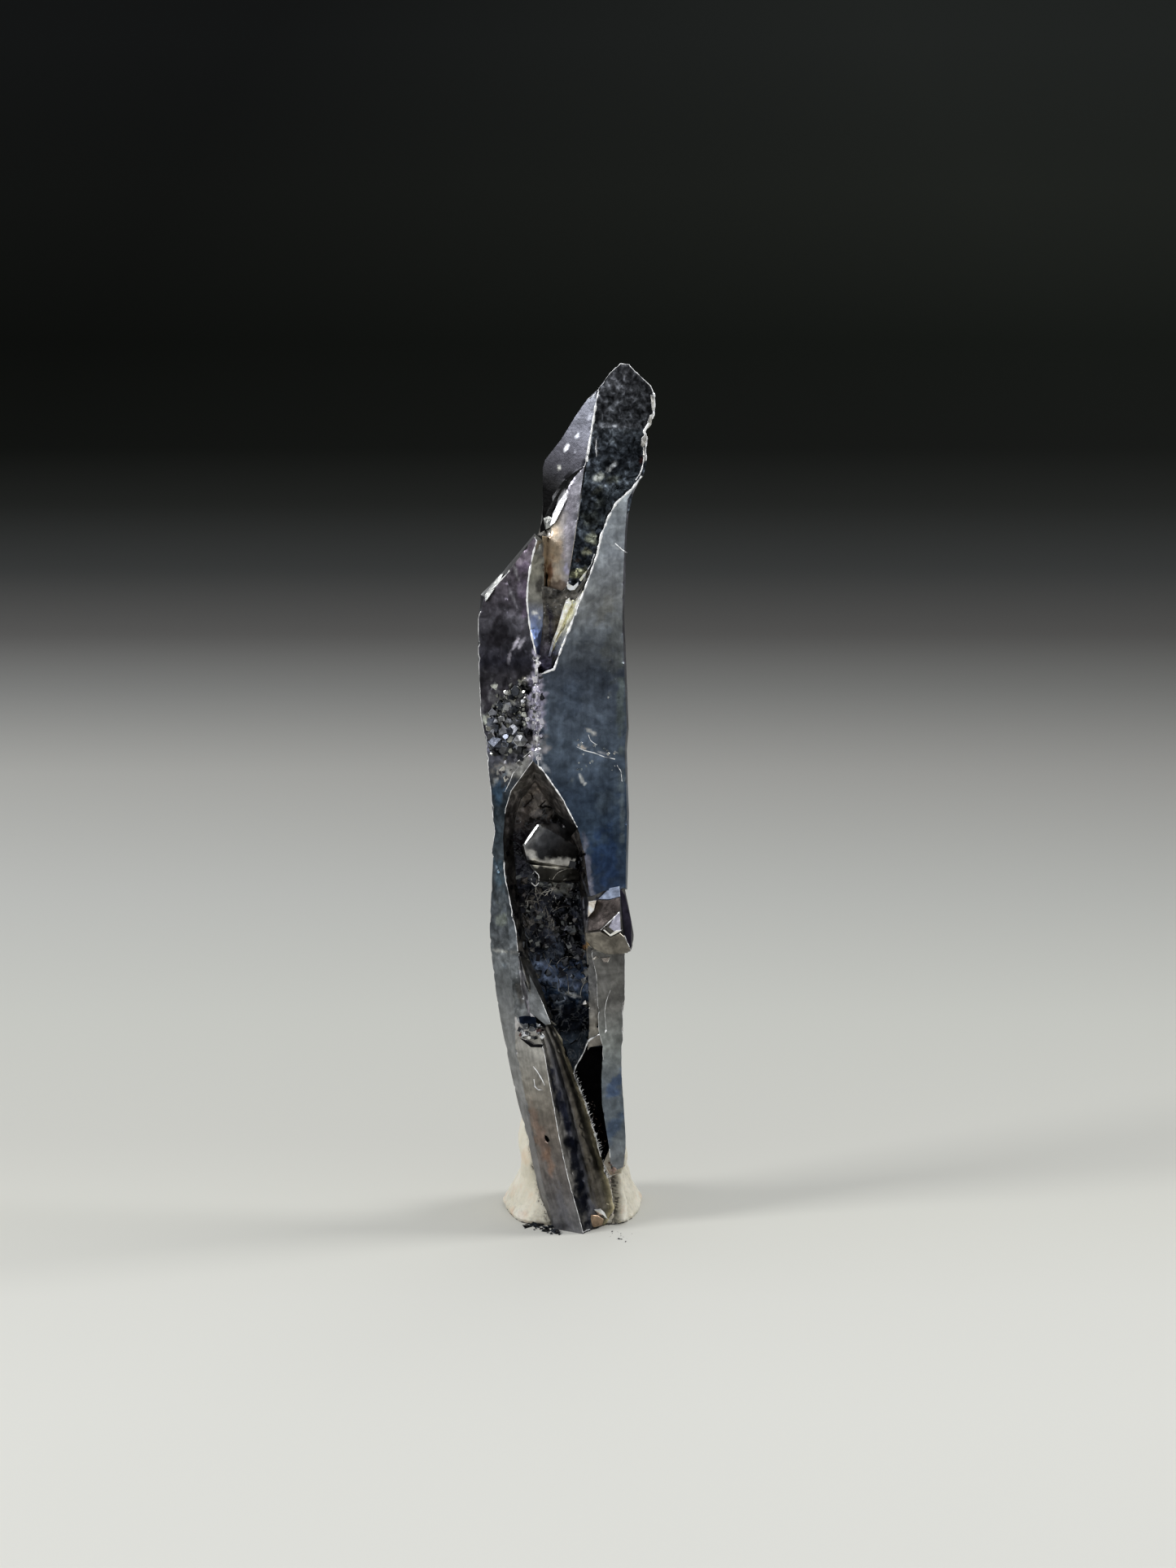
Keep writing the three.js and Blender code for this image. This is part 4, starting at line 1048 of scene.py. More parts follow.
# %% The shards' outlines
SHARDS = {
    # colour, rise and extra rise of its middle in mm, then x and s round its outline
    "pale blue facet": ("#a3aec4", 0.03, 0, [
        (1.58, 16.32), (2.1, 16.84), (2.62, 16.96), (2.66, 16.44), (2.1, 16.28)]),
    "upper facet": ("#3f3a38", 0.05, 0, [
        (1.54, 16.28), (2.1, 16.28), (2.66, 16.44), (2.66, 15.68), (2.26, 15.32), (1.7, 14.8),
        (1.06, 14.72), (1.1, 15.36), (1.38, 15.8)]),
    # Painted glints: the near-white left block, slab lip and slab edge.
    "left block": ("#fff4e6", 0.4, 0.0, [(1.1, 16.2), (1.5, 16.28), (1.38, 15.76), (1.06, 15.4)]),
    "slab": ("#b8b6c6", 0.16, 0, [
        (2.65, 15.75), (2.68, 14.8), (2.42, 14.7), (2.1, 14.95), (2.33, 15.35)]),
    "slab lip": ("#fbf9f2", 0.2, 0, [
        (2.46, 14.8), (2.78, 14.82), (2.54, 14.66), (2.22, 14.5), (2.18, 14.6)]),
    "slab edge": ("#f2eee6", 0.2, 0, [(1.82, 14.8), (1.9, 14.82), (2.22, 14.56), (2.18, 14.48)]),
    "lower facet": ("#7c776f", 0.08, 0, [
        (0.94, 14.64), (1.7, 14.72), (2.18, 14.46), (2.66, 14.66), (2.86, 14.48), (3.18, 13.8),
        (2.78, 13.6), (1.98, 13.6), (1.38, 13.84), (0.98, 14.24)]),
    "dark right facet": ("#2e2b36", 0.03, 0, [
        (2.66, 16.84), (2.9, 16.52), (3.22, 15.2), (3.22, 13.98), (3.1, 13.86), (2.86, 14.52),
        (2.62, 14.92)]),
    "small slab": ("#e0d4cb", 0.1, 0.02, [(1.7, 13.4), (2.18, 13.44), (2.06, 13.18), (1.86, 13.28)]),
    "splinter": ("#c0bab0", 0.08, 0.02, [(1.26, 13.32), (1.5, 13.52), (1.62, 13.4)]),
    "white wall": ("#68686a", 0.04, 0, [
        (0.04, 36.34), (0.1, 36.05), (-0.14, 35.5), (-0.55, 34.75), (-0.8, 34.6),
        (-0.66, 35.2), (-0.36, 35.85)]),
    "upper block": ("#9c9d99", 0.08, 0.05, [
        (-1.1, 35.01), (-0.86, 35.16), (-0.64, 35.01), (-0.71, 34.6), (-0.99, 34.46)]),
    "lower block": ("#55534f", 0.04, 0.03, [
        (-1.4, 34.25), (-1.02, 34.44), (-0.95, 34.16), (-1.3, 33.96)]),
    "shadowed hollow": ("#0c0c0c", 0.02, 0, [
        (-0.02, 36.68), (-0.3, 36.4), (-0.86, 35.56), (-1.06, 35.01), (-1.0, 34.6),
        (-0.71, 35.28), (-0.38, 36)]),
    # Painted glints: the near-white golden ledge and golden lip at the foot of the tip plate.
    "golden ledge": ("#fffef4", 0.1, 0.0, [
        (0.02, 31.7), (0.1, 31.8), (0.38, 31.66), (0.62, 31.88), (0.62, 31.7),
        (0.44, 31.48), (0.2, 31.44), (0.06, 31.54)]),
    "inner flank": ("#a09784", 0.0, 0, [
        (-1.16, 34.1), (-0.9, 34.1), (-0.9, 31.0), (-1.12, 31.0), (-1.13, 32.5)]),
    "beige band": ("#828483", 0.05, 0, [
        (-2.1, 12.45), (-1.8, 12.55), (-1.24, 11.4), (-0.74, 10.15), (-1.02, 10.1),
        (-1.75, 10.7), (-1.9, 11.6)]),
    # Painted shade: a black sheet over the pit in the flat lath.
    "pit": ("#010101", 0.006, 0, [
        (-1.08, 4.62), (-0.98, 4.6), (-0.86, 4.38), (-0.87, 4.22), (-0.96, 4.28), (-1.05, 4.44)]),
    "golden lip": ("#fff6da", 0.1, 0.0, [
        (0.64, 31.98), (0.85, 32.25), (1.08, 32.5), (1.0, 32.25), (0.74, 31.88)]),
    # The tip chips are chips on the plate's edge, with near-white painted glints for colour.
    "tip chip 1": ("#fbf8f0", 0.05, 0.04, [
        (4.14, 41.04), (4.34, 40.96), (4.36, 40.36), (4.22, 40.24), (4.18, 40.64)]),
    "tip chip 2": ("#fbf8f0", 0.05, 0.04, [
        (4.1, 40.04), (4.26, 40.12), (4.18, 39.6), (4.02, 39.4), (3.98, 39.68)]),
    "tip chip 3": ("#fbf8f0", 0.05, 0.04, [
        (3.7, 38.92), (3.94, 39.16), (3.98, 38.84), (3.78, 38.44), (3.66, 38.56)]),
    "tip chip 4": ("#fbf8f0", 0.05, 0.03, [
        (3.78, 38.44), (3.9, 38.48), (3.9, 37.88), (3.82, 37.68), (3.76, 38.04)]),
    "shoulder glint": ("#c6c7c4", 0.03, 0.03, [
        (-3.98, 31.25), (-3.55, 31.85), (-3.2, 32.25), (-3.05, 32.3), (-3.25, 31.9),
        (-3.55, 31.45), (-3.95, 30.9)]),
    # Painted shade: a dark sheet in the hollow above the chip.
    "chip hollow": ("#151b28", 0.02, 0, [
        (-2.34, 10.5), (-1.9, 10.58), (-1.5, 10.48), (-1.42, 9.98), (-1.82, 10.04),
        (-2.28, 10.2)]),
    "chip crack": ("#141416", 0.05, 0, [
        (-2.3, 9.44), (-1.98, 9.36), (-1.58, 9.12), (-1.1, 9.16), (-1.18, 9), (-1.74, 9)]),
    # Painted glint: the near-white foot chip.
    "foot chip": ("#f0f0ee", 0.06, 0.04, [
        (1.38, 0.88), (1.7, 0.92), (1.9, 0.72), (2.06, 0.36), (1.82, 0.52), (1.58, 0.6)]),
    "foot facet": ("#8a7664", 0.04, 0, [
        (1.22, 0.64), (1.58, 0.6), (1.86, 0.4), (1.78, 0.1), (1.38, 0.0), (1.14, 0.2)]),
    # Painted highlight: a near-white strip along the wedge's left edge.
    "wedge edge": ("#e8e8e6", 0.03, 0, [
        (-1.4, 20.0), (-1.34, 19.94), (-1.7, 19.4), (-2.06, 18.95), (-2.12, 18.94),
        (-1.84, 19.42)]),
    "ledge": ("#1c2127", 0.005, 0, [
        (-0.3, 9.7), (1.2, 9.85), (1.58, 10.04), (1.94, 9.72), (1.5, 9.48), (1.1, 9.28),
        (0.9, 8.8), (0.66, 8.32), (0.38, 7.64), (0.18, 8.04), (-0.06, 8.92)]),
    "ledge underside": ("#8a857e", 0.12, 0, [
        (1.1, 9.28), (1.5, 9.5), (1.9, 9.6), (1.82, 9.04), (1.06, 8.92)]),
    # Painted glint: the near-white golden streak at the foot of the valley's wall.
    "golden streak": ("#fff8e0", 0.05, 0, [
        (0.0, 30.98), (0.18, 31.12), (0.28, 30.78), (-0.09, 30.02), (-0.33, 29.39),
        (-0.58, 28.89), (-0.76, 28.2), (-0.88, 28.2), (-0.66, 29.03), (-0.46, 29.5),
        (-0.19, 30.43)]),
}
FRAGMENTS = [
    # x, s, how far they scatter, how many, smallest and largest radius in mm, rise, colours
    # In the first row and the ridge row, the near-white colours are painted glints.
    (-1.7, 9.78, 0.6, 0.32, 26, 0.07, 0.2, 0.07,
     ["#f6f6f4", "#c9cbcd", "#8c8e93", "#595b60", "#2a2c30", "#1a1b1e", "#5a4644"]),
    (-2.9, 24.7, 0.95, 1.2, 80, 0.1, 0.32, 0.04,
     ["#2c2d30", "#3f4043", "#55565a", "#6c6d6c", "#85867f", "#9c9c94"]),
    (-2.35, 26.4, 0.4, 0.7, 18, 0.08, 0.2, 0.04, ["#4c4e50", "#75766f", "#9d9d96", "#c4c2ba"]),
    (-1.42, 25.4, 0.22, 1.9, 34, 0.04, 0.14, 0.03, ["#8e8b9c", "#b6b3c4", "#e4e0ee", "#ffffff"]),
    (-3.0, 22.7, 0.7, 0.5, 10, 0.06, 0.22, 0.02, ["#55555a", "#7a7976", "#a5a29c"]),
    (1.4, 23.4, 1.0, 0.8, 18, 0.04, 0.1, 0.012, ["#6a7276", "#9a9e9e", "#c8c6c0"]),
    (2.4, 27.0, 0.5, 2.4, 8, 0.03, 0.07, 0.01, ["#6a7276", "#a4a6a4"]),
    (-2.9, 25.3, 0.8, 1.4, 44, 0.2, 0.42, 0.1, ["#585c66", "#84868c", "#a4a5a8", "#42454c"]),
]


WIDEST_GAP = 2.6  # radians between two corners of a flake; wider, and they are evened out
FLATTEST = 0.4  # mm by which the ground under a flake may rise and fall


def scatter_fragments(table):
    """Small many-sided flakes, thick where the crystal is broken."""
    random = np.random.default_rng(21)
    flakes = {}
    for x, s, wide, tall, count, small, large, rise, colours in table:
        for _ in range(count):
            middle = (x, s) + random.uniform(-1, 1, 2) * (wide, tall)
            radius = small * (large / small) ** random.random()
            corners = random.integers(4, 7)
            angles = np.sort(random.uniform(0, 2 * np.pi, corners))
            gaps = np.diff(np.append(angles, angles[0] + 2 * np.pi))
            if gaps.max() > WIDEST_GAP:
                angles = np.linspace(0, 2 * np.pi, corners, endpoint=False) + random.random()
            reach = radius * random.uniform(0.7, 1.2, corners) * (1.0, 0.8)[random.integers(2)]
            outline = middle + np.column_stack([np.cos(angles), np.sin(angles)]) * reach[:, None]
            colour = colours[random.integers(len(colours))]
            peak = (0.0, 0.4 * radius)[random.integers(2)]
            below = [front_depth(surface, *spot) for spot in outline]
            if any(depth is None for depth in below) or np.ptp(below) > FLATTEST:
                continue
            if middle[1] - CRUST_SLANT * middle[0] > CRUST_TOP:
                continue
            flakes[f"fragment {len(flakes)}"] = (
                colour, rise * random.uniform(0.5, 1.5), peak, outline)
    return flakes


SHARDS.update(scatter_fragments(FRAGMENTS))
ON_PLANE = {  # shards that carry on a crystal face, or close the gap between two
    "ledge": FACES["hopper floor"], "ledge underside": FACES["hopper floor"],
    "inner flank": lambda x, s: -0.3 + 3.2 * (x + 1.14),
}
SHARD_FINISH = {"ledge": 2}  # which of the galena's materials, if not the first
BEVEL = 0.03  # mm
ROOT_DEPTH = 0.3  # mm that a shard reaches into the crystal
STEEPEST = 0.45  # slope of a shard against the sheet
MOSTLY = 88  # per cent of a shard that has to show,
FORWARD = 0.35  # if that brings it forward by no more than this many mm
print(len(SHARDS), "outlines")


# %% The shards
def shard(name, colour, rise, peak, outline, random):
    """Points, faces and a colour for each face of one shard."""
    outline = np.array(outline)
    after = np.roll(outline, -1, axis=0)
    if (outline[:, 0] * after[:, 1] - after[:, 0] * outline[:, 1]).sum() < 0:
        outline = outline[::-1]
    middle = outline.mean(axis=0)
    offset = np.column_stack([np.ones(len(outline)), outline - middle])
    if name in ON_PLANE:
        ground = np.array([ON_PLANE[name](x, s) for x, s in outline])
        level = ground - rise
    else:
        inner = np.vstack([outline, 0.7 * outline + 0.3 * middle, 0.3 * outline + 0.7 * middle])
        below = drape(surface, inner)
        ground = below[:len(outline)]
        spread = np.column_stack([np.ones(len(inner)), inner - middle])
        flat = np.linalg.lstsq(spread, below, rcond=None)[0]
        flat[1:] = np.clip(flat[1:], -STEEPEST, STEEPEST)
        buried = np.percentile(spread @ flat - below, MOSTLY)
        level = offset @ flat - np.clip(buried, 0.0, FORWARD) - rise
    inward = middle - outline
    inward /= np.linalg.norm(inward, axis=1)[:, None]
    bevel = min(BEVEL, 0.3 * np.linalg.norm(middle - outline, axis=1).min())
    top = outline + bevel * inward
    root = np.maximum(level + rise, ground) + ROOT_DEPTH
    count = len(outline)
    spots = [place(x, s, d) for (x, s), d in zip(top, level)]
    spots += [place(x, s, d + bevel) for (x, s), d in zip(outline, level)]
    spots += [place(x, s, d) for (x, s), d in zip(outline, root)]
    faces = [tuple(range(3 * count - 1, 2 * count - 1, -1))]
    # Painted light: each bevel face is half as bright again as the shard, a painted highlight, and the
    # sides and root are half as bright, painted shade.
    shades = [0.5]
    for i in range(count):
        j = (i + 1) % count
        faces += [(i, i + count, j + count, j), (i + count, i + 2 * count, j + 2 * count, j + count)]
        shades += [1.5, 0.5]
    if peak:
        x, s = middle + 0.1 * random.standard_normal(2)
        spots.append(place(x, s, level.mean() - peak))
        faces += [(i, (i + 1) % count, 3 * count) for i in range(count)]
        shades += list(2.0 ** random.uniform(-1.6, 0.3, count))
    else:
        faces.append(tuple(range(count)))
        shades.append(1.0)
    return spots, faces, [np.minimum(1, np.array(linear(colour)[:3]) * shade) for shade in shades]


def closed_mesh(name, spots, faces):
    """A mesh whose faces all look outward."""
    mesh = new_mesh(name, spots, [], faces)
    bm = bmesh.new()
    bm.from_mesh(mesh)
    bmesh.ops.recalc_face_normals(bm, faces=bm.faces)
    bm.to_mesh(mesh)
    bm.free()
    return mesh


def shard_mesh(name, shards):
    """One mesh of all the shards, and for each face the number of its material."""
    random = np.random.default_rng(5)
    spots, faces, colours, kinds = [], [], [], []
    for label, details in shards.items():
        new_spots, new_faces, new_colours = shard(label, *details, random)
        kinds += [SHARD_FINISH.get(label, 0)] * len(new_faces)
        faces += [tuple(i + len(spots) for i in face) for face in new_faces]
        spots += new_spots
        colours += new_colours
    mesh = closed_mesh(name, spots, faces)
    sizes = [polygon.loop_total for polygon in mesh.polygons]
    colour = np.repeat(np.array(colours), sizes, axis=0)
    x, s, _ = on_sheet(np.array(spots))
    at = [index for polygon in mesh.polygons for index in polygon.vertices]
    wear = np.tile([0.55, 0.15, 0.1], (len(at), 1))
    set_finish(mesh, colour, np.full(len(at), 0.3), wear, np.column_stack([x[at], s[at]]))
    return mesh, kinds


shards, kinds = shard_mesh("small_faces", SHARDS)
flakes = new_object("small_faces", shards, FACE_GALENA)
for material in MATERIALS[1:]:
    shards.materials.append(material)
shards.polygons.foreach_set("material_index", kinds)
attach(flakes, "root")
print(len(SHARDS), "shards with", len(flakes.data.polygons), "faces")

# %% [markdown]
# ## Bright edges
# An edge between two faces is never quite sharp. It is rubbed and chipped to fresh metal, and
# because it is round it always finds a light to reflect, so each edge draws a thin bright line
# that fades and swells; the bead's near-white colour is a painted highlight for that light. The
# edges of the fine mesh between two named facets are that line: Geometry Nodes join them to
# curves and run a thin, uneven bead along them.

# %% The edges between named facets
RIMS = [
    # two facets, lowest and highest s, bead radius in mm
    ("left face", "valley wall", 28, 34.3, 0.045), ("tip plate", "tan face", 31, 43, 0.032),
    ("right face", "notch wall", 27, 38, 0.05),
    ("right face", "streak", 27, 38, 0.05), ("left face", "hopper wall", 13.8, 18.2, 0.022),
    ("left face", "hopper wall", 20.5, 24, 0.012), ("left face", "shoulder", 30, 32.4, 0.03),
    ("right face", "hopper wall", 19.8, 24, 0.032), ("tip plate", "notch wall", 31, 33.2, 0.03),
    ("flat lath", "ribs", -1, 9.2, 0.012), ("ribs", "slot", 2, 7.6, 0.022),
    ("lower right", "slot", 2, 9, 0.014), ("lower right", "lower rim", 8, 14, 0.007),
    ("right face", "left face", 22, 28, 0.025), ("tip plate", "wall", 37.8, 41.2, 0.05),
    ("tip plate", "wall", 41.2, 43.5, 0.016), ("left face", "wall", 18.3, 30.5, 0.014),
    ("leaning face", "wall", 36, 43, 0.014),
]
THREADS = [
    # radius in mm, then x and s along a fine ridge that stands on a face
    (0.035, [(3.82, 38.0), (3.8, 37.8), (3.72, 37.4), (3.6, 37.12), (3.42, 36.84)]),
    (0.045, [(1.98, 9.84), (1.94, 9.7), (1.5, 9.5), (1.14, 9.3), (0.98, 9), (0.88, 8.7),
             (0.66, 8.32), (0.46, 7.96), (0.38, 7.64)]),
    (0.008, [(2.18, 11.8), (1.98, 11.24), (1.9, 10.72), (1.98, 9.84)]),
    (0.035, [(-1.58, 7.4), (-1.54, 7.04), (-1.38, 6.88), (-1.18, 6.88)]),
    (0.025, [(-1.62, 8.04), (-1.42, 7.8), (-1.18, 7.4), (-1.06, 7.12)]),
    (0.03, [(1.7, 14.8), (2.26, 15.32), (2.62, 15.68)]),
    (0.025, [(2.86, 14.52), (3.18, 13.8)]),
    (0.022, [(-1.54, 17.68), (-1.34, 17.48), (-1.34, 17.12), (-1.5, 16.92), (-1.7, 17.08),
             (-1.74, 17.44), (-1.54, 17.68)]),
    (0.02, [(2.4, 33.75), (2.8, 33.4), (3.0, 33.3)]),
    (0.02, [(1.5, 38.9), (1.46, 38.4), (1.5, 38.0)]),
    (0.018, [(0.52, 23.8), (0.9, 23.62), (1.4, 23.5), (1.9, 23.3), (2.4, 23.2)]),
    (0.014, [(1.1, 24.4), (1.2, 24.1), (1.5, 23.9)]),
    (0.014, [(2.5, 22.9), (2.7, 22.6), (2.75, 22.1)]),
    (0.016, [(-2.35, 23.1), (-2.0, 23.35), (-1.7, 23.6)]),
    (0.016, [(-3.0, 21.6), (-2.75, 22.1), (-2.6, 22.5), (-2.3, 22.85)]),
]
THREAD_STEP = 0.08


def edges_between(triangles, facet):
    """Each edge of the mesh, as two points and the facets on its two sides."""
    sides = np.concatenate([triangles[:, [0, 1]], triangles[:, [1, 2]], triangles[:, [2, 0]]])
    owner = np.tile(facet, 3)
    sides = np.sort(sides, axis=1)
    order = np.lexsort((sides[:, 1], sides[:, 0]))
    sides, owner = sides[order].reshape(-1, 2, 2), owner[order].reshape(-1, 2)
    return sides[:, 0], np.sort(owner, axis=1)


ends, owners = edges_between(triangles, facet)
middle_s = on_sheet(flat_points)[1][ends].mean(axis=1)
rim_edges, rim_radius = [], np.zeros(len(points))
for one, two, low, high, radius in RIMS:
    pair = sorted((NUMBER[one], NUMBER[two]))
    found = ends[(owners == pair).all(axis=1) & (middle_s > low) & (middle_s < high)]
    rim_edges += found.tolist()
    rim_radius[found.reshape(-1)] = radius
    print(one, "and", two, "share", len(found), "edges")


# %% A bead along curves, as a node tree
def new_tree(name, inputs):
    """A Geometry Nodes tree with named inputs: name, socket type and default value."""
    tree = bpy.data.node_groups.new(name, "GeometryNodeTree")
    tree.interface.new_socket("Geometry", in_out="INPUT", socket_type="NodeSocketGeometry")
    tree.interface.new_socket("Geometry", in_out="OUTPUT", socket_type="NodeSocketGeometry")
    for label, kind, value in inputs:
        socket = tree.interface.new_socket(label, in_out="INPUT", socket_type=kind)
        if value is not None:
            socket.default_value = value
    return tree, add(tree, "NodeGroupInput"), add(tree, "NodeGroupOutput")


def finish_tree(tree, geometry, source, target):
    """Ends a tree with a plain mesh: instances made real, and one material set. Ends a
    tree the way the export needs: plain mesh with one material.
    """
    real = add(tree, "GeometryNodeRealizeInstances", {0: geometry})
    painted = add(tree, "GeometryNodeSetMaterial", {
        0: real.outputs[0], "Material": source.outputs["Material"]})
    tree.links.new(painted.outputs[0], target.inputs[0])
    return tree


def bead_tree():
    tree, source, target = new_tree("bead_along_edges", [
        ("Step", "NodeSocketFloat", 0.05), ("Unevenness", "NodeSocketFloat", 0.8),
        ("Lumps per metre", "NodeSocketFloat", 3000.0), ("Sides", "NodeSocketInt", 5),
        ("Material", "NodeSocketMaterial", None),
    ])
    curve = add(tree, "GeometryNodeMeshToCurve", {0: source.outputs["Geometry"]})
    even = add(tree, "GeometryNodeResampleCurve", {
        0: curve.outputs[0], "Length": source.outputs["Step"]}, mode="LENGTH")
    radius = add(tree, "GeometryNodeInputNamedAttribute", {"Name": "radius_mm"})
    lumps = add(tree, "ShaderNodeTexNoise", {
        "Scale": source.outputs["Lumps per metre"], "Detail": 3.0})
    low = maths(tree, "SUBTRACT", 1.0, source.outputs["Unevenness"])
    high = maths(tree, "ADD", 1.0, source.outputs["Unevenness"])
    swell = add(tree, "ShaderNodeMapRange", {
        0: lumps.outputs["Fac"], 1: 0.35, 2: 0.65, 3: low, 4: high})
    ring = add(tree, "GeometryNodeCurvePrimitiveCircle", {
        "Resolution": source.outputs["Sides"], "Radius": MM})
    bead = add(tree, "GeometryNodeCurveToMesh", {
        0: even.outputs[0], 1: ring.outputs[0], "Fill Caps": True,
        "Scale": maths(tree, "MULTIPLY", radius.outputs[0], swell.outputs[0])})
    return finish_tree(tree, bead.outputs[0], source, target)


def set_input(modifier, label, value):
    """Sets a modifier's input by its socket's identifier."""
    for item in modifier.node_group.interface.items_tree:
        if item.name == label and item.in_out == "INPUT":
            modifier[item.identifier] = value


def run_tree(name, mesh, tree, **inputs):
    """The result of a node tree on a mesh, as a new plain object."""
    base = in_scene(name + "_base", mesh)
    modifier = base.modifiers.new("nodes", "NODES")
    modifier.node_group = tree
    for label, value in inputs.items():
        set_input(modifier, label.replace("_", " "), value)
    view = bpy.context.evaluated_depsgraph_get()
    result = bpy.data.meshes.new_from_object(base.evaluated_get(view))
    result.name = name
    bpy.data.objects.remove(base)
    return in_scene(name, result)


BEADS = bead_tree()
print("bead tree of", len(BEADS.nodes), "nodes")


# %% Fresh galena, with a painted highlight
FINE_BUMP = 0.02  # mm


def grained_material(name, per_mm, stops, metallic, roughness, bump=0.0):
    """One fine grain picks the colour, and roughens the surface where bump is above 0."""
    material, tree, shader = new_material(name)
    fine = grain(tree, per_mm, 3)
    set_inputs(tree, shader, {
        "Base Color": ramp(tree, fine, stops), "Metallic": metallic, "Roughness": roughness})
    if bump:
        set_inputs(tree, shader, {"Normal": bumps(tree, bump, FINE_BUMP, fine)})
    return material


# Where a flake has just come off, galena is as bright as new lead; the nearly white, partly
# diffuse colour here is a painted highlight for the lights that a round edge reflects.
FRESH_GALENA_HIGHLIGHT = grained_material("fresh_galena_painted_highlight", 3.0, [
    (0.3, "#8c8e92"), (0.4, "#e8e8ea"), (0.5, "#ffffff")], 0.3, 0.25, bump=0.4)
print("material", FRESH_GALENA_HIGHLIGHT.name)


# %% The beads
LOWEST_LINE = 0.08  # mm above the floor


def draped_line(tree, line):
    """A line on the sheet, cut into short steps and laid on a surface, in millimetres."""
    line = np.array(line)
    along = np.concatenate([[0], np.cumsum(np.linalg.norm(np.diff(line, axis=0), axis=1))])
    steps = np.linspace(0, along[-1], max(2, math.ceil(along[-1] / THREAD_STEP)))
    x, s = (np.interp(steps, along, line[:, i]) for i in (0, 1))
    return [place(*spot) for spot in zip(x, s, drape(tree, zip(x, s)))]


def add_lines(spots, edges, widths, lines, tree):
    """Adds draped lines to lists of points, edges and bead radii."""
    for radius, line in lines:
        draped = draped_line(tree, line)
        first = len(spots)
        edges += [(first + i, first + i + 1) for i in range(len(draped) - 1)]
        spots += draped
        widths += [radius] * len(draped)


def line_mesh(name, spots, edges, widths):
    """Bare edges with a bead radius at each point, kept clear of the floor."""
    spots = np.array(spots)
    spots[:, 2] = np.maximum(spots[:, 2], LOWEST_LINE)
    mesh = new_mesh(name, spots, edges, [])
    store(mesh, "radius_mm", widths)
    return mesh


BRISTLES = 120
BRISTLES_FROM, BRISTLES_TO = 2.4, 7.7  # mm up the right edge of the ribs


def add_bristles(spots, edges, widths):
    """Short hairs that stand out from the right edge of the ribs, over the slot."""
    random = np.random.default_rng(12)
    for _ in range(BRISTLES):
        s = random.uniform(BRISTLES_FROM, BRISTLES_TO)
        x = float(bundle_edges(s)[3]) - 0.06
        lean, length = random.uniform(0.3, 1.5), random.uniform(0.08, 0.26)
        depth = front_depth(surface, x, s)
        if depth is not None:
            edges.append((len(spots), len(spots) + 1))
            spots += [place(x, s, depth), place(x + length * math.cos(lean),
                                                s + length * math.sin(lean), depth - 0.05)]
            widths += 2 * [random.uniform(0.006, 0.013)]


used, index = np.unique(np.array(rim_edges), return_inverse=True)
spots, edges = points[used].tolist(), index.reshape(-1, 2).tolist()
widths = rim_radius[used].tolist()
add_lines(spots, edges, widths, THREADS, search_tree(galena, flakes))
add_bristles(spots, edges, widths)
lines = line_mesh("bright_lines", spots, edges, widths)
bright_edges = run_tree("bright_edges", lines, BEADS, Step=0.05 * MM, Unevenness=0.55,
                        Material=FRESH_GALENA_HIGHLIGHT)
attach(bright_edges, "root")
print("bright edges:", len(bright_edges.data.polygons), "faces")

# %% [markdown]
# ### Fibres in the hollow
# Inside the hollow the crystal is a web: thin curved ribs of grey galena over black gaps. They
# are random arcs laid on the floor of the hollow, with the same bead tree run along them.

# %% Fibres
FIBRES = 60
FIBRE_ZONES = [
    # lowest and highest x, lowest and highest s, and their share of the fibres
    (-1.9, -0.4, 14.0, 17.0, 0.85), (-1.4, 0.9, 11.2, 13.6, 0.15),
]


def fibre_lines():
    """Random arcs, each a bead radius and the x and s along it."""
    random = np.random.default_rng(11)
    lines = []
    for low_x, high_x, low_s, high_s, share in FIBRE_ZONES:
        for _ in range(round(share * FIBRES)):
            x, s = random.uniform(low_x, high_x), random.uniform(low_s, high_s)
            heading, bend = random.normal(1.4, 0.7), random.uniform(-1.6, 1.6)
            length = random.uniform(0.4, 1.5)
            line = [(x, s)]
            for _ in range(10):
                heading += bend * length / 10
                x += math.cos(heading) * length / 10
                s += math.sin(heading) * length / 10
                line.append((x, s))
            lines.append((random.uniform(0.008, 0.02), line))
    return lines


# Ribs of galena in the hollow are a little tarnished, so grey with brown in it.
GREY_FIBRES = grained_material("hollow_fibres", 1.2, [
    (0.35, "#3a3836"), (0.5, "#7c7872"), (0.66, "#c4c0b8")], 1.0, 0.35)
spots, edges, widths = [], [], []
add_lines(spots, edges, widths, fibre_lines(), surface)
fibres = run_tree("hollow_fibres", line_mesh("fibre_lines", spots, edges, widths), BEADS,
                  Step=0.08 * MM, Sides=4, Material=GREY_FIBRES)
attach(fibres, "root")
print("fibres:", len(fibres.data.polygons), "faces")
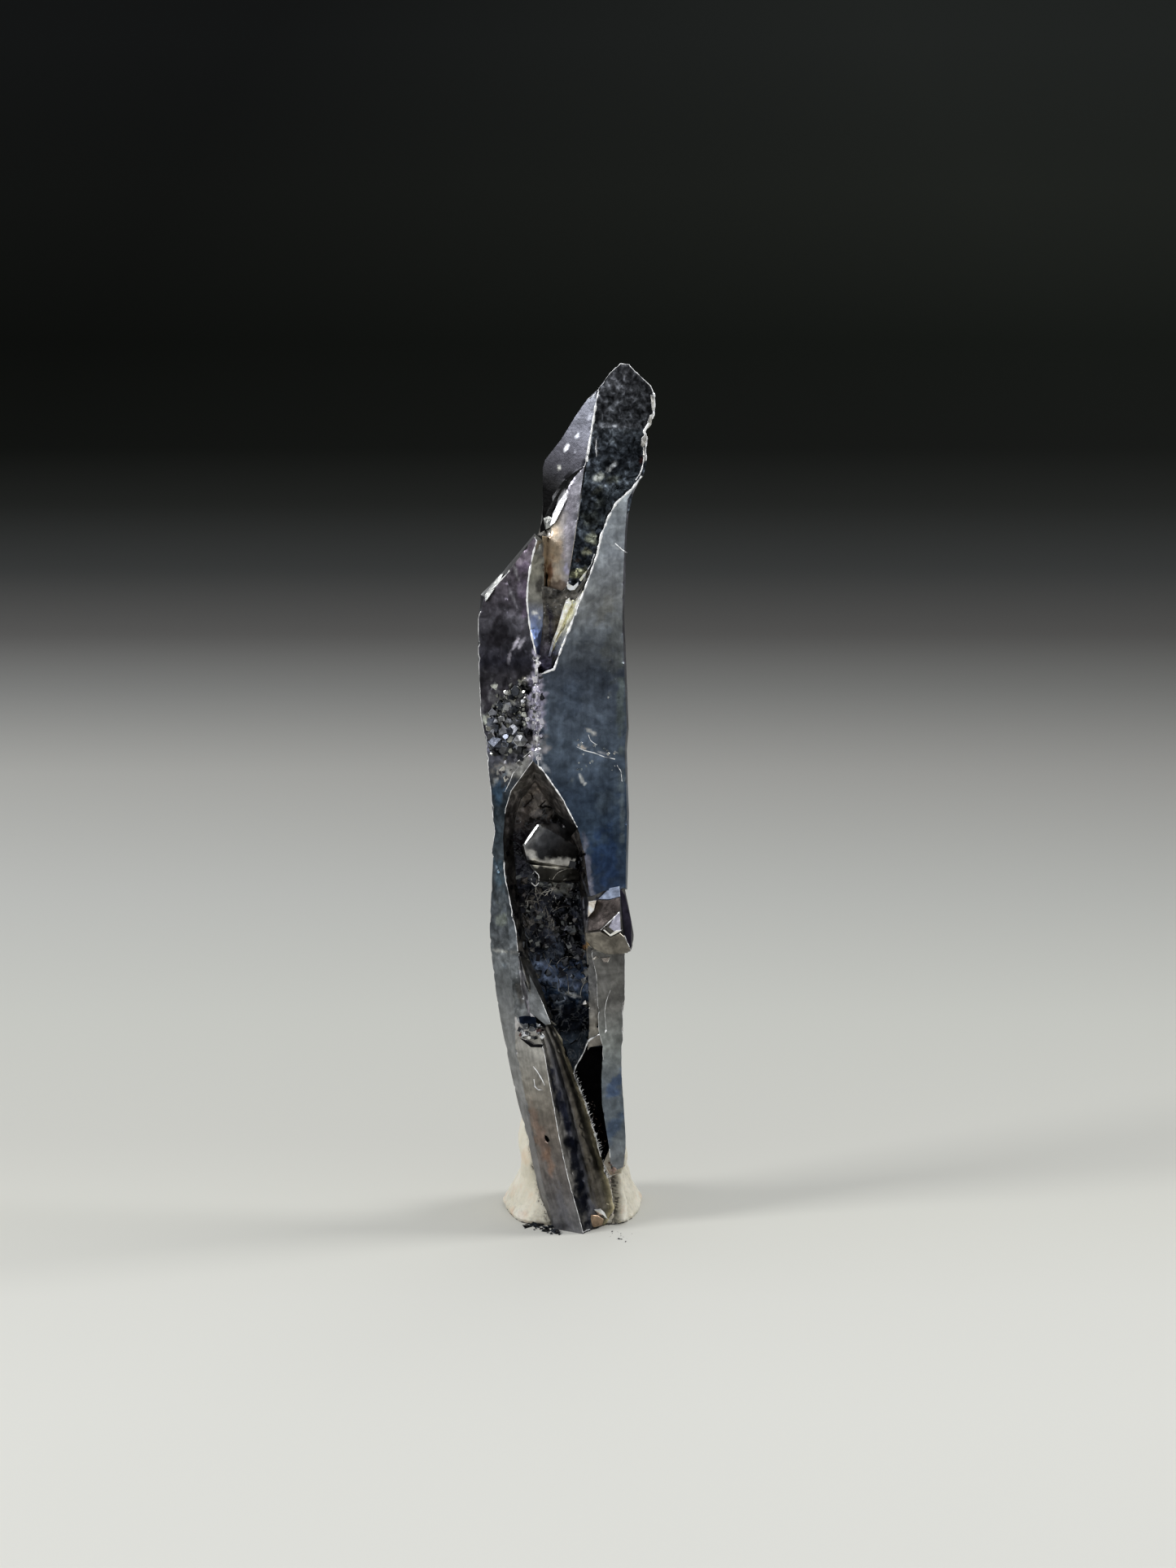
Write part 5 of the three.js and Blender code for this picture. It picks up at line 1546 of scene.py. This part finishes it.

# %% [markdown]
# ### A crust of cubes
# Galena grows in cubes. On the broken band of the left face, along the ridge and in the hollow
# they crowd together, a tenth of a millimetre or two across, each turned its own way. Geometry
# Nodes scatter points where the crust lies, put a cube on each, and give it a shade of its own,
# a painted reflection of what it mirrors, raised on the ridge as a painted glint.


# %% Cubes scattered on a surface, as a node tree
def druse_tree():
    tree, source, target = new_tree("cubes_on_surface", [
        ("Cubes per square metre", "NodeSocketFloat", 1e7),
        ("Smallest", "NodeSocketFloat", 0.06 * MM), ("Largest", "NodeSocketFloat", 0.2 * MM),
        ("Flatness", "NodeSocketFloat", 2.5), ("Seed", "NodeSocketInt", 3),
        ("Material", "NodeSocketMaterial", None),
    ])
    cover = add(tree, "GeometryNodeInputNamedAttribute", {"Name": "cover"})
    density = maths(tree, "MULTIPLY", cover.outputs[0], source.outputs["Cubes per square metre"])
    spread = add(tree, "GeometryNodeDistributePointsOnFaces", {
        "Mesh": source.outputs["Geometry"], 4: density, "Seed": source.outputs["Seed"]})
    shade = add(tree, "FunctionNodeRandomValue", {2: 0.0, 3: 1.0, "Seed": 7}, data_type="FLOAT")
    shaded = add(tree, "GeometryNodeStoreNamedAttribute", {
        "Geometry": spread.outputs["Points"], "Name": "shade", "Value": shade.outputs[1]},
        data_type="FLOAT", domain="POINT")
    turn = add(tree, "FunctionNodeRandomValue", {
        0: (-0.35, -0.35, -3.1), 1: (0.35, 0.35, 3.1), "Seed": 8}, data_type="FLOAT_VECTOR")
    turned = add(tree, "FunctionNodeRotateRotation", {
        0: spread.outputs["Rotation"], 1: turn.outputs[0]}, rotation_space="LOCAL")
    low = add(tree, "ShaderNodeCombineXYZ", {i: source.outputs["Smallest"] for i in range(3)})
    thick = maths(tree, "DIVIDE", source.outputs["Largest"], source.outputs["Flatness"])
    high = add(tree, "ShaderNodeCombineXYZ", {
        0: source.outputs["Largest"], 1: source.outputs["Largest"], 2: thick})
    size = add(tree, "FunctionNodeRandomValue", {
        0: low.outputs[0], 1: high.outputs[0], "Seed": 9}, data_type="FLOAT_VECTOR")
    cube = add(tree, "GeometryNodeMeshCube", {"Size": (1, 1, 1)})
    cubes = add(tree, "GeometryNodeInstanceOnPoints", {
        "Points": shaded.outputs[0], "Instance": cube.outputs[0],
        "Rotation": turned.outputs[0], "Scale": size.outputs[0]})
    return finish_tree(tree, cubes.outputs[0], source, target)


def cube_galena():
    """Each small cube mirrors something else, so its shade runs from black to nearly white as a painted
    reflection; the ridge value raises it as a painted glint, and below 0 lowers it.
    """
    material, tree, shader = new_material("cube_galena")
    shade = add(tree, "ShaderNodeAttribute", attribute_name="shade")
    bright = add(tree, "ShaderNodeAttribute", attribute_name="ridge")
    lit = maths(tree, "MULTIPLY_ADD", bright.outputs["Fac"], 0.6, shade.outputs["Fac"])
    shades = ramp(tree, maths(tree, "DIVIDE", lit, 1.4), [
        (0.0, "#1a1a1e"), (0.21, "#2c2d31"), (0.43, "#515354"), (0.61, "#7a7b78"),
        (0.71, "#a09ea4"), (0.96, "#efecf4")])
    set_inputs(tree, shader, {
        "Base Color": shades, "Metallic": 1.0, "Roughness": 0.3,
        "Normal": bumps(tree, 0.5, FINE_BUMP, grain(tree, 8.0, 2))})
    return material


CUBES, CUBE_GALENA = druse_tree(), cube_galena()
print("cube tree of", len(CUBES.nodes), "nodes")


# %% The crust
x, s, _ = on_sheet(flat_points)
on_left = facet_of_point == NUMBER["left face"]
on_ridge = on_left | (facet_of_point == NUMBER["right face"])
on_floor = facet_of_point == NUMBER["hopper floor"]
on_wall = facet_of_point == NUMBER["hopper wall"]
hopper = [triangles[facet == NUMBER[name]] for name in ("hopper floor", "hopper wall")]
foot_of_wall = flat_points[np.intersect1d(*hopper)]
in_hollow = (on_floor | on_wall) & (s > 12)
near_wall = np.zeros(len(points))
near_wall[in_hollow] = distance_to(foot_of_wall, flat_points[in_hollow])
lip = soft(s, 12.2, 13.2)
near_wall = soft(near_wall, 0.5, 0.1) * (near_wall > 0) * lip * soft(s, 20, 19)
near_wall = np.maximum(near_wall, 0.6 * on_wall * lip * soft(s, 20, 18))
cover = np.maximum(0.3 * rough_left(x, s) * on_left, rough_ridge(x, s) * on_ridge)
cover += 0.7 * near_wall
ground_mesh = galena.data.copy()
store(ground_mesh, "cover", cover)
# ridge: raised on the ridge as a painted glint on its cubes, and below 0 at the foot of the hollow's
# wall, where the cubes are darker.
store(ground_mesh, "ridge", rough_ridge(x, s) * on_ridge - 0.45 * (near_wall > 0))
crust = run_tree("crust_of_cubes", ground_mesh, CUBES, Cubes_per_square_metre=1.1e7,
                 Smallest=0.06 * MM, Largest=0.36 * MM, Flatness=3.0, Material=CUBE_GALENA)
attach(crust, "root")
print("crust:", len(crust.data.polygons), "faces")

# %% [markdown]
# ## The putty
# Mounting putty is a soft, pale, slightly waxy clay. It was rolled warm between the fingers and
# pressed up behind the foot, so it is a lumpy cone with dents, a long fold on its right and a
# crack where the fold lies over. A cloth simulation would lose the crack, so the cone is a grid
# of rings whose radius is pushed in and out. Cutting the crystal's solid out of it leaves a
# socket that hugs the laths, as putty does.

# %% The wad
PUTTY_HEIGHT = 5.6
PUTTY_RINGS = np.array([
    # share of the height, x and y of the middle, half width and half depth in mm
    [0, 0.35, 3.4, 3.5, 3.35], [0.1, 0.35, 3.6, 3.2, 3.45], [0.36, 0.28, 3.7, 2.8, 3.25],
    [0.62, 0.1, 3.4, 2.62, 2.8], [0.86, -0.1, 3.3, 2.1, 2.1], [1, -0.2, 3.3, 1.3, 1.3],
])
PUTTY_SIDES = 260
PUTTY_ROWS = 90
DENTS = [
    # degrees round, height, half widths in mm along and up, and depth in mm
    (215, 3.9, 0.8, 1.0, 0.16), (232, 2.2, 0.5, 0.8, 0.1), (180, 2.6, 1.2, 0.9, 0.22),
    (140, 3.4, 1.3, 0.8, 0.25), (95, 2.2, 1.5, 1.0, 0.28), (60, 3.6, 1.2, 0.9, 0.22),
    (20, 2.4, 1.0, 1.2, 0.2), (340, 2.0, 0.7, 0.8, 0.12), (250, 4.9, 1.4, 0.3, 0.15),
]
FOLD_X, CRACK_X, GROOVE_X = 2.72, 2.44, 3.08


def unbent(x, z):
    """x without the sway of the fold and the crack, which lean to and fro as they rise."""
    return x - 0.05 * np.sin(2.4 * z)


def putty_points():
    """Points of the cone in mm, ring by ring, with lumps, dents, fold and crack."""
    rows, sides = PUTTY_ROWS, PUTTY_SIDES
    share = np.linspace(0, 1, rows)[:, None]
    cx, cy, wide, deep = (np.interp(share, PUTTY_RINGS[:, 0], column)
                          for column in PUTTY_RINGS.T[1:])
    angle = np.linspace(0, 2 * np.pi, sides, endpoint=False)[None, :]
    ring = share * 5
    lumpy = 1 + 0.03 * np.sin(3 * angle + ring) + 0.02 * np.sin(5 * angle - 2 * ring)
    tuck = 1 - 0.05 * soft(share, 0.04, 0.0) - 0.5 * soft(share, 0.93, 1.0) ** 3
    square = 1 - 0.35 * soft(share, 0.35, 0.0)
    across, along = (np.sign(v) * np.abs(v) ** square for v in (np.cos(angle), np.sin(angle)))
    x = cx + wide * lumpy * tuck * across
    y = cy + deep * lumpy * tuck * along
    z = share * PUTTY_HEIGHT + 0 * angle
    spots = np.dstack([x, y, z]).reshape(-1, 3)
    out = np.dstack([np.cos(angle) + 0 * share, np.sin(angle) + 0 * share, 0 * z]).reshape(-1, 3)
    x, y, z = spots.T
    turn = np.degrees(np.tile(angle[0], rows)) % 360
    push = 0.1 * fuzz(spots, 2.4, 4.0) + 0.03 * fuzz(spots, 0.7, 6.0, 2)
    for at, height, along, up, depth in DENTS:
        apart = (turn - at + 180) % 360 - 180
        arc = np.radians(apart) * 3
        push -= depth * np.exp(-(arc / along) ** 2 - ((z - height) / up) ** 2)
    front = soft(y, 4.4, 3.2)
    bent = unbent(x, z)
    push += 0.22 * np.exp(-((bent - FOLD_X) / 0.2) ** 2) * front * soft(z, 3.9, 2.6)
    push -= 0.5 * np.exp(-((bent - CRACK_X) / 0.08) ** 2) * front * soft(z, 3.4, 2.4)
    groove = x - GROOVE_X - 0.08 * np.sin(3 * z)
    push -= 0.2 * np.exp(-(groove / 0.1) ** 2) * front * soft(z, 3.2, 1.8)
    flow = spots * np.array([1, 1, 0.25])
    push += 0.03 * fuzz(flow, 0.3, 8.0, 2)
    ends = soft(z, 0.0, 0.25) * soft(z, PUTTY_HEIGHT, PUTTY_HEIGHT - 0.4)
    spots += out * (push * ends)[:, None]
    return spots


def putty_mesh():
    """The cone, closed by a fan of triangles at its top and at its foot."""
    rows, sides = PUTTY_ROWS, PUTTY_SIDES
    spots = putty_points()
    top = [[*spots[-sides:].mean(axis=0)[:2], PUTTY_HEIGHT]]
    bottom = [[*spots[:sides].mean(axis=0)[:2], 0.0]]
    faces = []
    for row in range(rows - 1):
        for side in range(sides):
            a, b = row * sides + side, row * sides + (side + 1) % sides
            faces.append((a, b, b + sides, a + sides))
    peak, base = rows * sides, rows * sides + 1
    last = (rows - 1) * sides
    for side in range(sides):
        after = (side + 1) % sides
        faces.append((last + side, last + after, peak))
        faces.append((after, side, base))
    return new_mesh("putty", np.vstack([spots, top, bottom]), [], faces)


wad_mesh = putty_mesh()
print("putty cone:", len(wad_mesh.polygons), "faces")


# %% The putty's material
def putty_material():
    """White clay gone cream: matt, a little waxy, grey where crystal dust sticks to it, and darker with
    painted shade in its crack, at its base and on its lower and right sides.
    """
    material, tree, shader = new_material("mounting_putty")
    dirt_and_shade = add(tree, "ShaderNodeAttribute", attribute_name="dirt_and_shade")
    cream = ramp(tree, grain(tree, 0.45, 4), [
        (0.35, "#c8c2b0"), (0.5, "#d4cfbe"), (0.65, "#d9d4c9")])
    blush = ramp(tree, grain(tree, 0.9, 5), [(0.5, "#ffffff"), (0.72, "#f3dfcf")])
    warm = mixed(tree, 1.0, cream, blush, blend_type="MULTIPLY")
    speck = add(tree, "ShaderNodeMapRange", {0: grain(tree, 5.0, 3), 1: 0.5, 2: 0.62})
    speckled = maths(tree, "ADD", speck.outputs[0], 0.35)
    amount = maths(tree, "MULTIPLY", speckled, dirt_and_shade.outputs["Fac"], use_clamp=True)
    height = maths(tree, "ADD", grain(tree, 1.6, 6), grain(tree, 9.0, 3))
    # The stored value darkens the cream towards #5f5a52: crystal dust where it is dirt, and painted
    # shade in the crack, at the base and on the lower and right sides.
    set_inputs(tree, shader, {
        "Base Color": mixed(tree, amount, warm, linear("#5f5a52")), "Roughness": 0.62,
        "Normal": bumps(tree, 0.5, 0.05, height),
        "Subsurface Weight": 0.25, "Subsurface Radius": (1.0, 0.8, 0.6),
        "Subsurface Scale": 0.6 * MM})
    return material


PUTTY = putty_material()
print("material", PUTTY.name)

# %% The socket around the laths
SLOT_OUTLINE = [(0.6, 9), (3.3, 9), (3.26, 2.7), (2.2, 2.4), (1.3, 4)]
SLOT_DEPTHS = (-1.0, 2.6)


def prism(name, outline, front, back):
    """A closed block between two depths of the sheet, over an outline of x and s."""
    sides = len(outline)
    spots = [place(x, s, depth) for depth in (front, back) for x, s in outline]
    faces = [tuple(range(sides)), tuple(range(2 * sides - 1, sides - 1, -1))]
    faces += [(i, i + sides, (i + 1) % sides + sides, (i + 1) % sides) for i in range(sides)]
    return closed_mesh(name, spots, faces)


def cut_away(mesh, *cutters):
    """The mesh with each cutter's solid taken out of it."""
    block = in_scene("block", mesh)
    tools = [in_scene("tool", cutter) for cutter in cutters]
    for tool in tools:
        cut = block.modifiers.new("cut", "BOOLEAN")
        cut.operation = "DIFFERENCE"
        cut.solver = "EXACT"
        cut.object = tool
    view = bpy.context.evaluated_depsgraph_get()
    result = bpy.data.meshes.new_from_object(block.evaluated_get(view))
    for tool in (*tools, block):
        bpy.data.objects.remove(tool)
    return result


solid_points, solid_triangles = skin_of("galena_crystal")
solid = new_mesh("cutter", solid_points, [], solid_triangles.tolist())
cut_mesh = cut_away(wad_mesh, solid, prism("slot", SLOT_OUTLINE, *SLOT_DEPTHS))

spots = np.array([v.co / MM for v in cut_mesh.vertices])
touch = distance_to(points, [v.co / MM for v in cut_mesh.vertices])
bent = unbent(spots[:, 0], spots[:, 2])
front = soft(spots[:, 1], 3.0, 2.2) * soft(spots[:, 2], 3.3, 2.8)
# Painted shade: a dark line down the crack, where the crease lies in shade.
crack = 3.0 * np.exp(-((bent - CRACK_X) / 0.07) ** 2) * front
grey = 1.2 * soft(bent, 1.9, 2.1) * soft(bent, CRACK_X, CRACK_X - 0.08) * front
# Dust where the crystal touches and the grey zone beside the crack are dirt; the thin dark line at the
# base is a painted contact shadow, and the darker lower and right sides are painted shade.
grime_and_shade = np.maximum.reduce([soft(touch, 0.34, 0.04), crack, grey, soft(spots[:, 2], 0.1, 0.0),
                          0.15 * soft(spots[:, 2], 1.7, 0.5), 0.15 * soft(spots[:, 0], 1.4, 2.4)])
store(cut_mesh, "dirt_and_shade", grime_and_shade)
cut_mesh.polygons.foreach_set("use_smooth", np.ones(len(cut_mesh.polygons), bool))
cut_mesh.set_sharp_from_angle(angle=math.radians(35))
putty = new_object("putty", cut_mesh, PUTTY)
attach(putty, "root")
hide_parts("mounting_putty")
print("putty:", len(cut_mesh.polygons), "faces")

# %% [markdown]
# ## Crumbs
# Galena splits easily. Where the laths were pushed into the putty they shed a dark dust that
# lies at the foot, and a few brown grains stick where the right lath enters the putty. A line of
# dark grains along the front of the foot is dirt and also a painted contact shadow. A crumb is
# the convex hull of a few random points, which gives it flat faces and sharp corners.

# %% Crumbs of galena and of brown ore
CRUMB_POINTS = 9


def crumbs(name, places, material, seed, tallest=0.5):
    """One mesh of crumbs: each has x, y and z in mm, and its size."""
    random = np.random.default_rng(seed)
    bm = bmesh.new()
    for x, y, z, size in places:
        cloud = random.standard_normal((CRUMB_POINTS, 3)) * size * (0.6, 0.6, 0.6 * tallest)
        new = [bm.verts.new(Vector(spot) + Vector((x, y, z))) for spot in cloud]
        hull = bmesh.ops.convex_hull(bm, input=new)
        loose = [v for v in hull["geom_interior"] + hull["geom_unused"]
                 if isinstance(v, bmesh.types.BMVert)]
        bmesh.ops.delete(bm, geom=list(set(loose)), context="VERTS")
    for vert in bm.verts:
        vert.co = Vector((vert.co.x, vert.co.y, max(vert.co.z, 0.0))) * MM
    bmesh.ops.recalc_face_normals(bm, faces=bm.faces)
    mesh = bpy.data.meshes.new(name)
    bm.to_mesh(mesh)
    bm.free()
    thing = new_object(name, mesh, material)
    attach(thing, "root")
    print(name, len(mesh.polygons), "faces")


def crumb_material(name, dark, pale, metallic):
    return grained_material(name, 4.0, [(0.4, dark), (0.62, pale)], metallic, 0.4)


def scattered(spots, count, spread, size, seed):
    """Places for crumbs around a few spots of the floor."""
    random = np.random.default_rng(seed)
    places = []
    for x, y in spots:
        for _ in range(count):
            dx, dy = random.normal(0, spread, 2)
            big = random.uniform(0.3, 1.0) * size
            places.append((x + dx, y + 2 * dy, 0.3 * big, big))
    return places


DUST = scattered([(-1.8, 0.3), (-1.45, 0.0), (-1.15, -0.2), (-0.85, -0.6), (-0.55, -1.1)],
                 12, 0.14, 0.18, 21)
DUST += scattered([(2.4, -1.4), (2.9, -1.6), (2.7, -2.0)], 4, 0.16, 0.07, 22)
crumbs("galena_dust", DUST, crumb_material("galena_dust", "#0d0e10", "#3a4048", 1.0), 23)

BROWN_GRAINS = [
    # x, s and size in mm
    (2.16, 3.0, 0.1), (2.3, 2.86, 0.12), (2.46, 2.94, 0.14), (2.62, 2.9, 0.12),
    (2.78, 2.95, 0.1), (2.9, 2.88, 0.09), (2.25, 3.1, 0.08), (2.2, 2.2, 0.06), (2.3, 1.8, 0.06),
]
GLINTS = 34  # of ore, deep in the slot between the laths
around_foot = search_tree(galena, putty)
random = np.random.default_rng(31)
for _ in range(GLINTS):
    share = random.random()
    BROWN_GRAINS.append((1.0 + 0.95 * share + random.uniform(0, 0.35), 6.2 - 3.0 * share,
                         random.uniform(0.02, 0.045)))
grains = [(*place(x, s, front_depth(around_foot, x, s)), size) for x, s, size in BROWN_GRAINS]
crumbs("brown_grains", grains, crumb_material("brown_ore", "#4a3a30", "#8a7468", 0.0), 24, 1.0)

# Dirt and painted contact shadow: a line of dark grains along the foot.
FOOT_GRIME_AND_SHADE = [(-2.95, -1.6), (0.9, 3.3)]  # from x to x in mm, along the front of the foot
GRIME_STEP = 0.05
random = np.random.default_rng(33)
grime_and_shade = []
for low, high in FOOT_GRIME_AND_SHADE:
    for x in np.arange(low, high, GRIME_STEP):
        hit = around_foot.ray_cast(Vector((x, -6, 0.04)), Vector((0, 1, 0)))[0]
        if hit is not None:
            grime_and_shade.append((x, hit.y + random.uniform(-0.04, 0.02), 0.02,
                          random.uniform(0.02, 0.06)))
crumbs("foot_grime_and_shade", grime_and_shade, crumb_material("foot_grime_and_shade", "#121214", "#45423e", 0.0), 34)
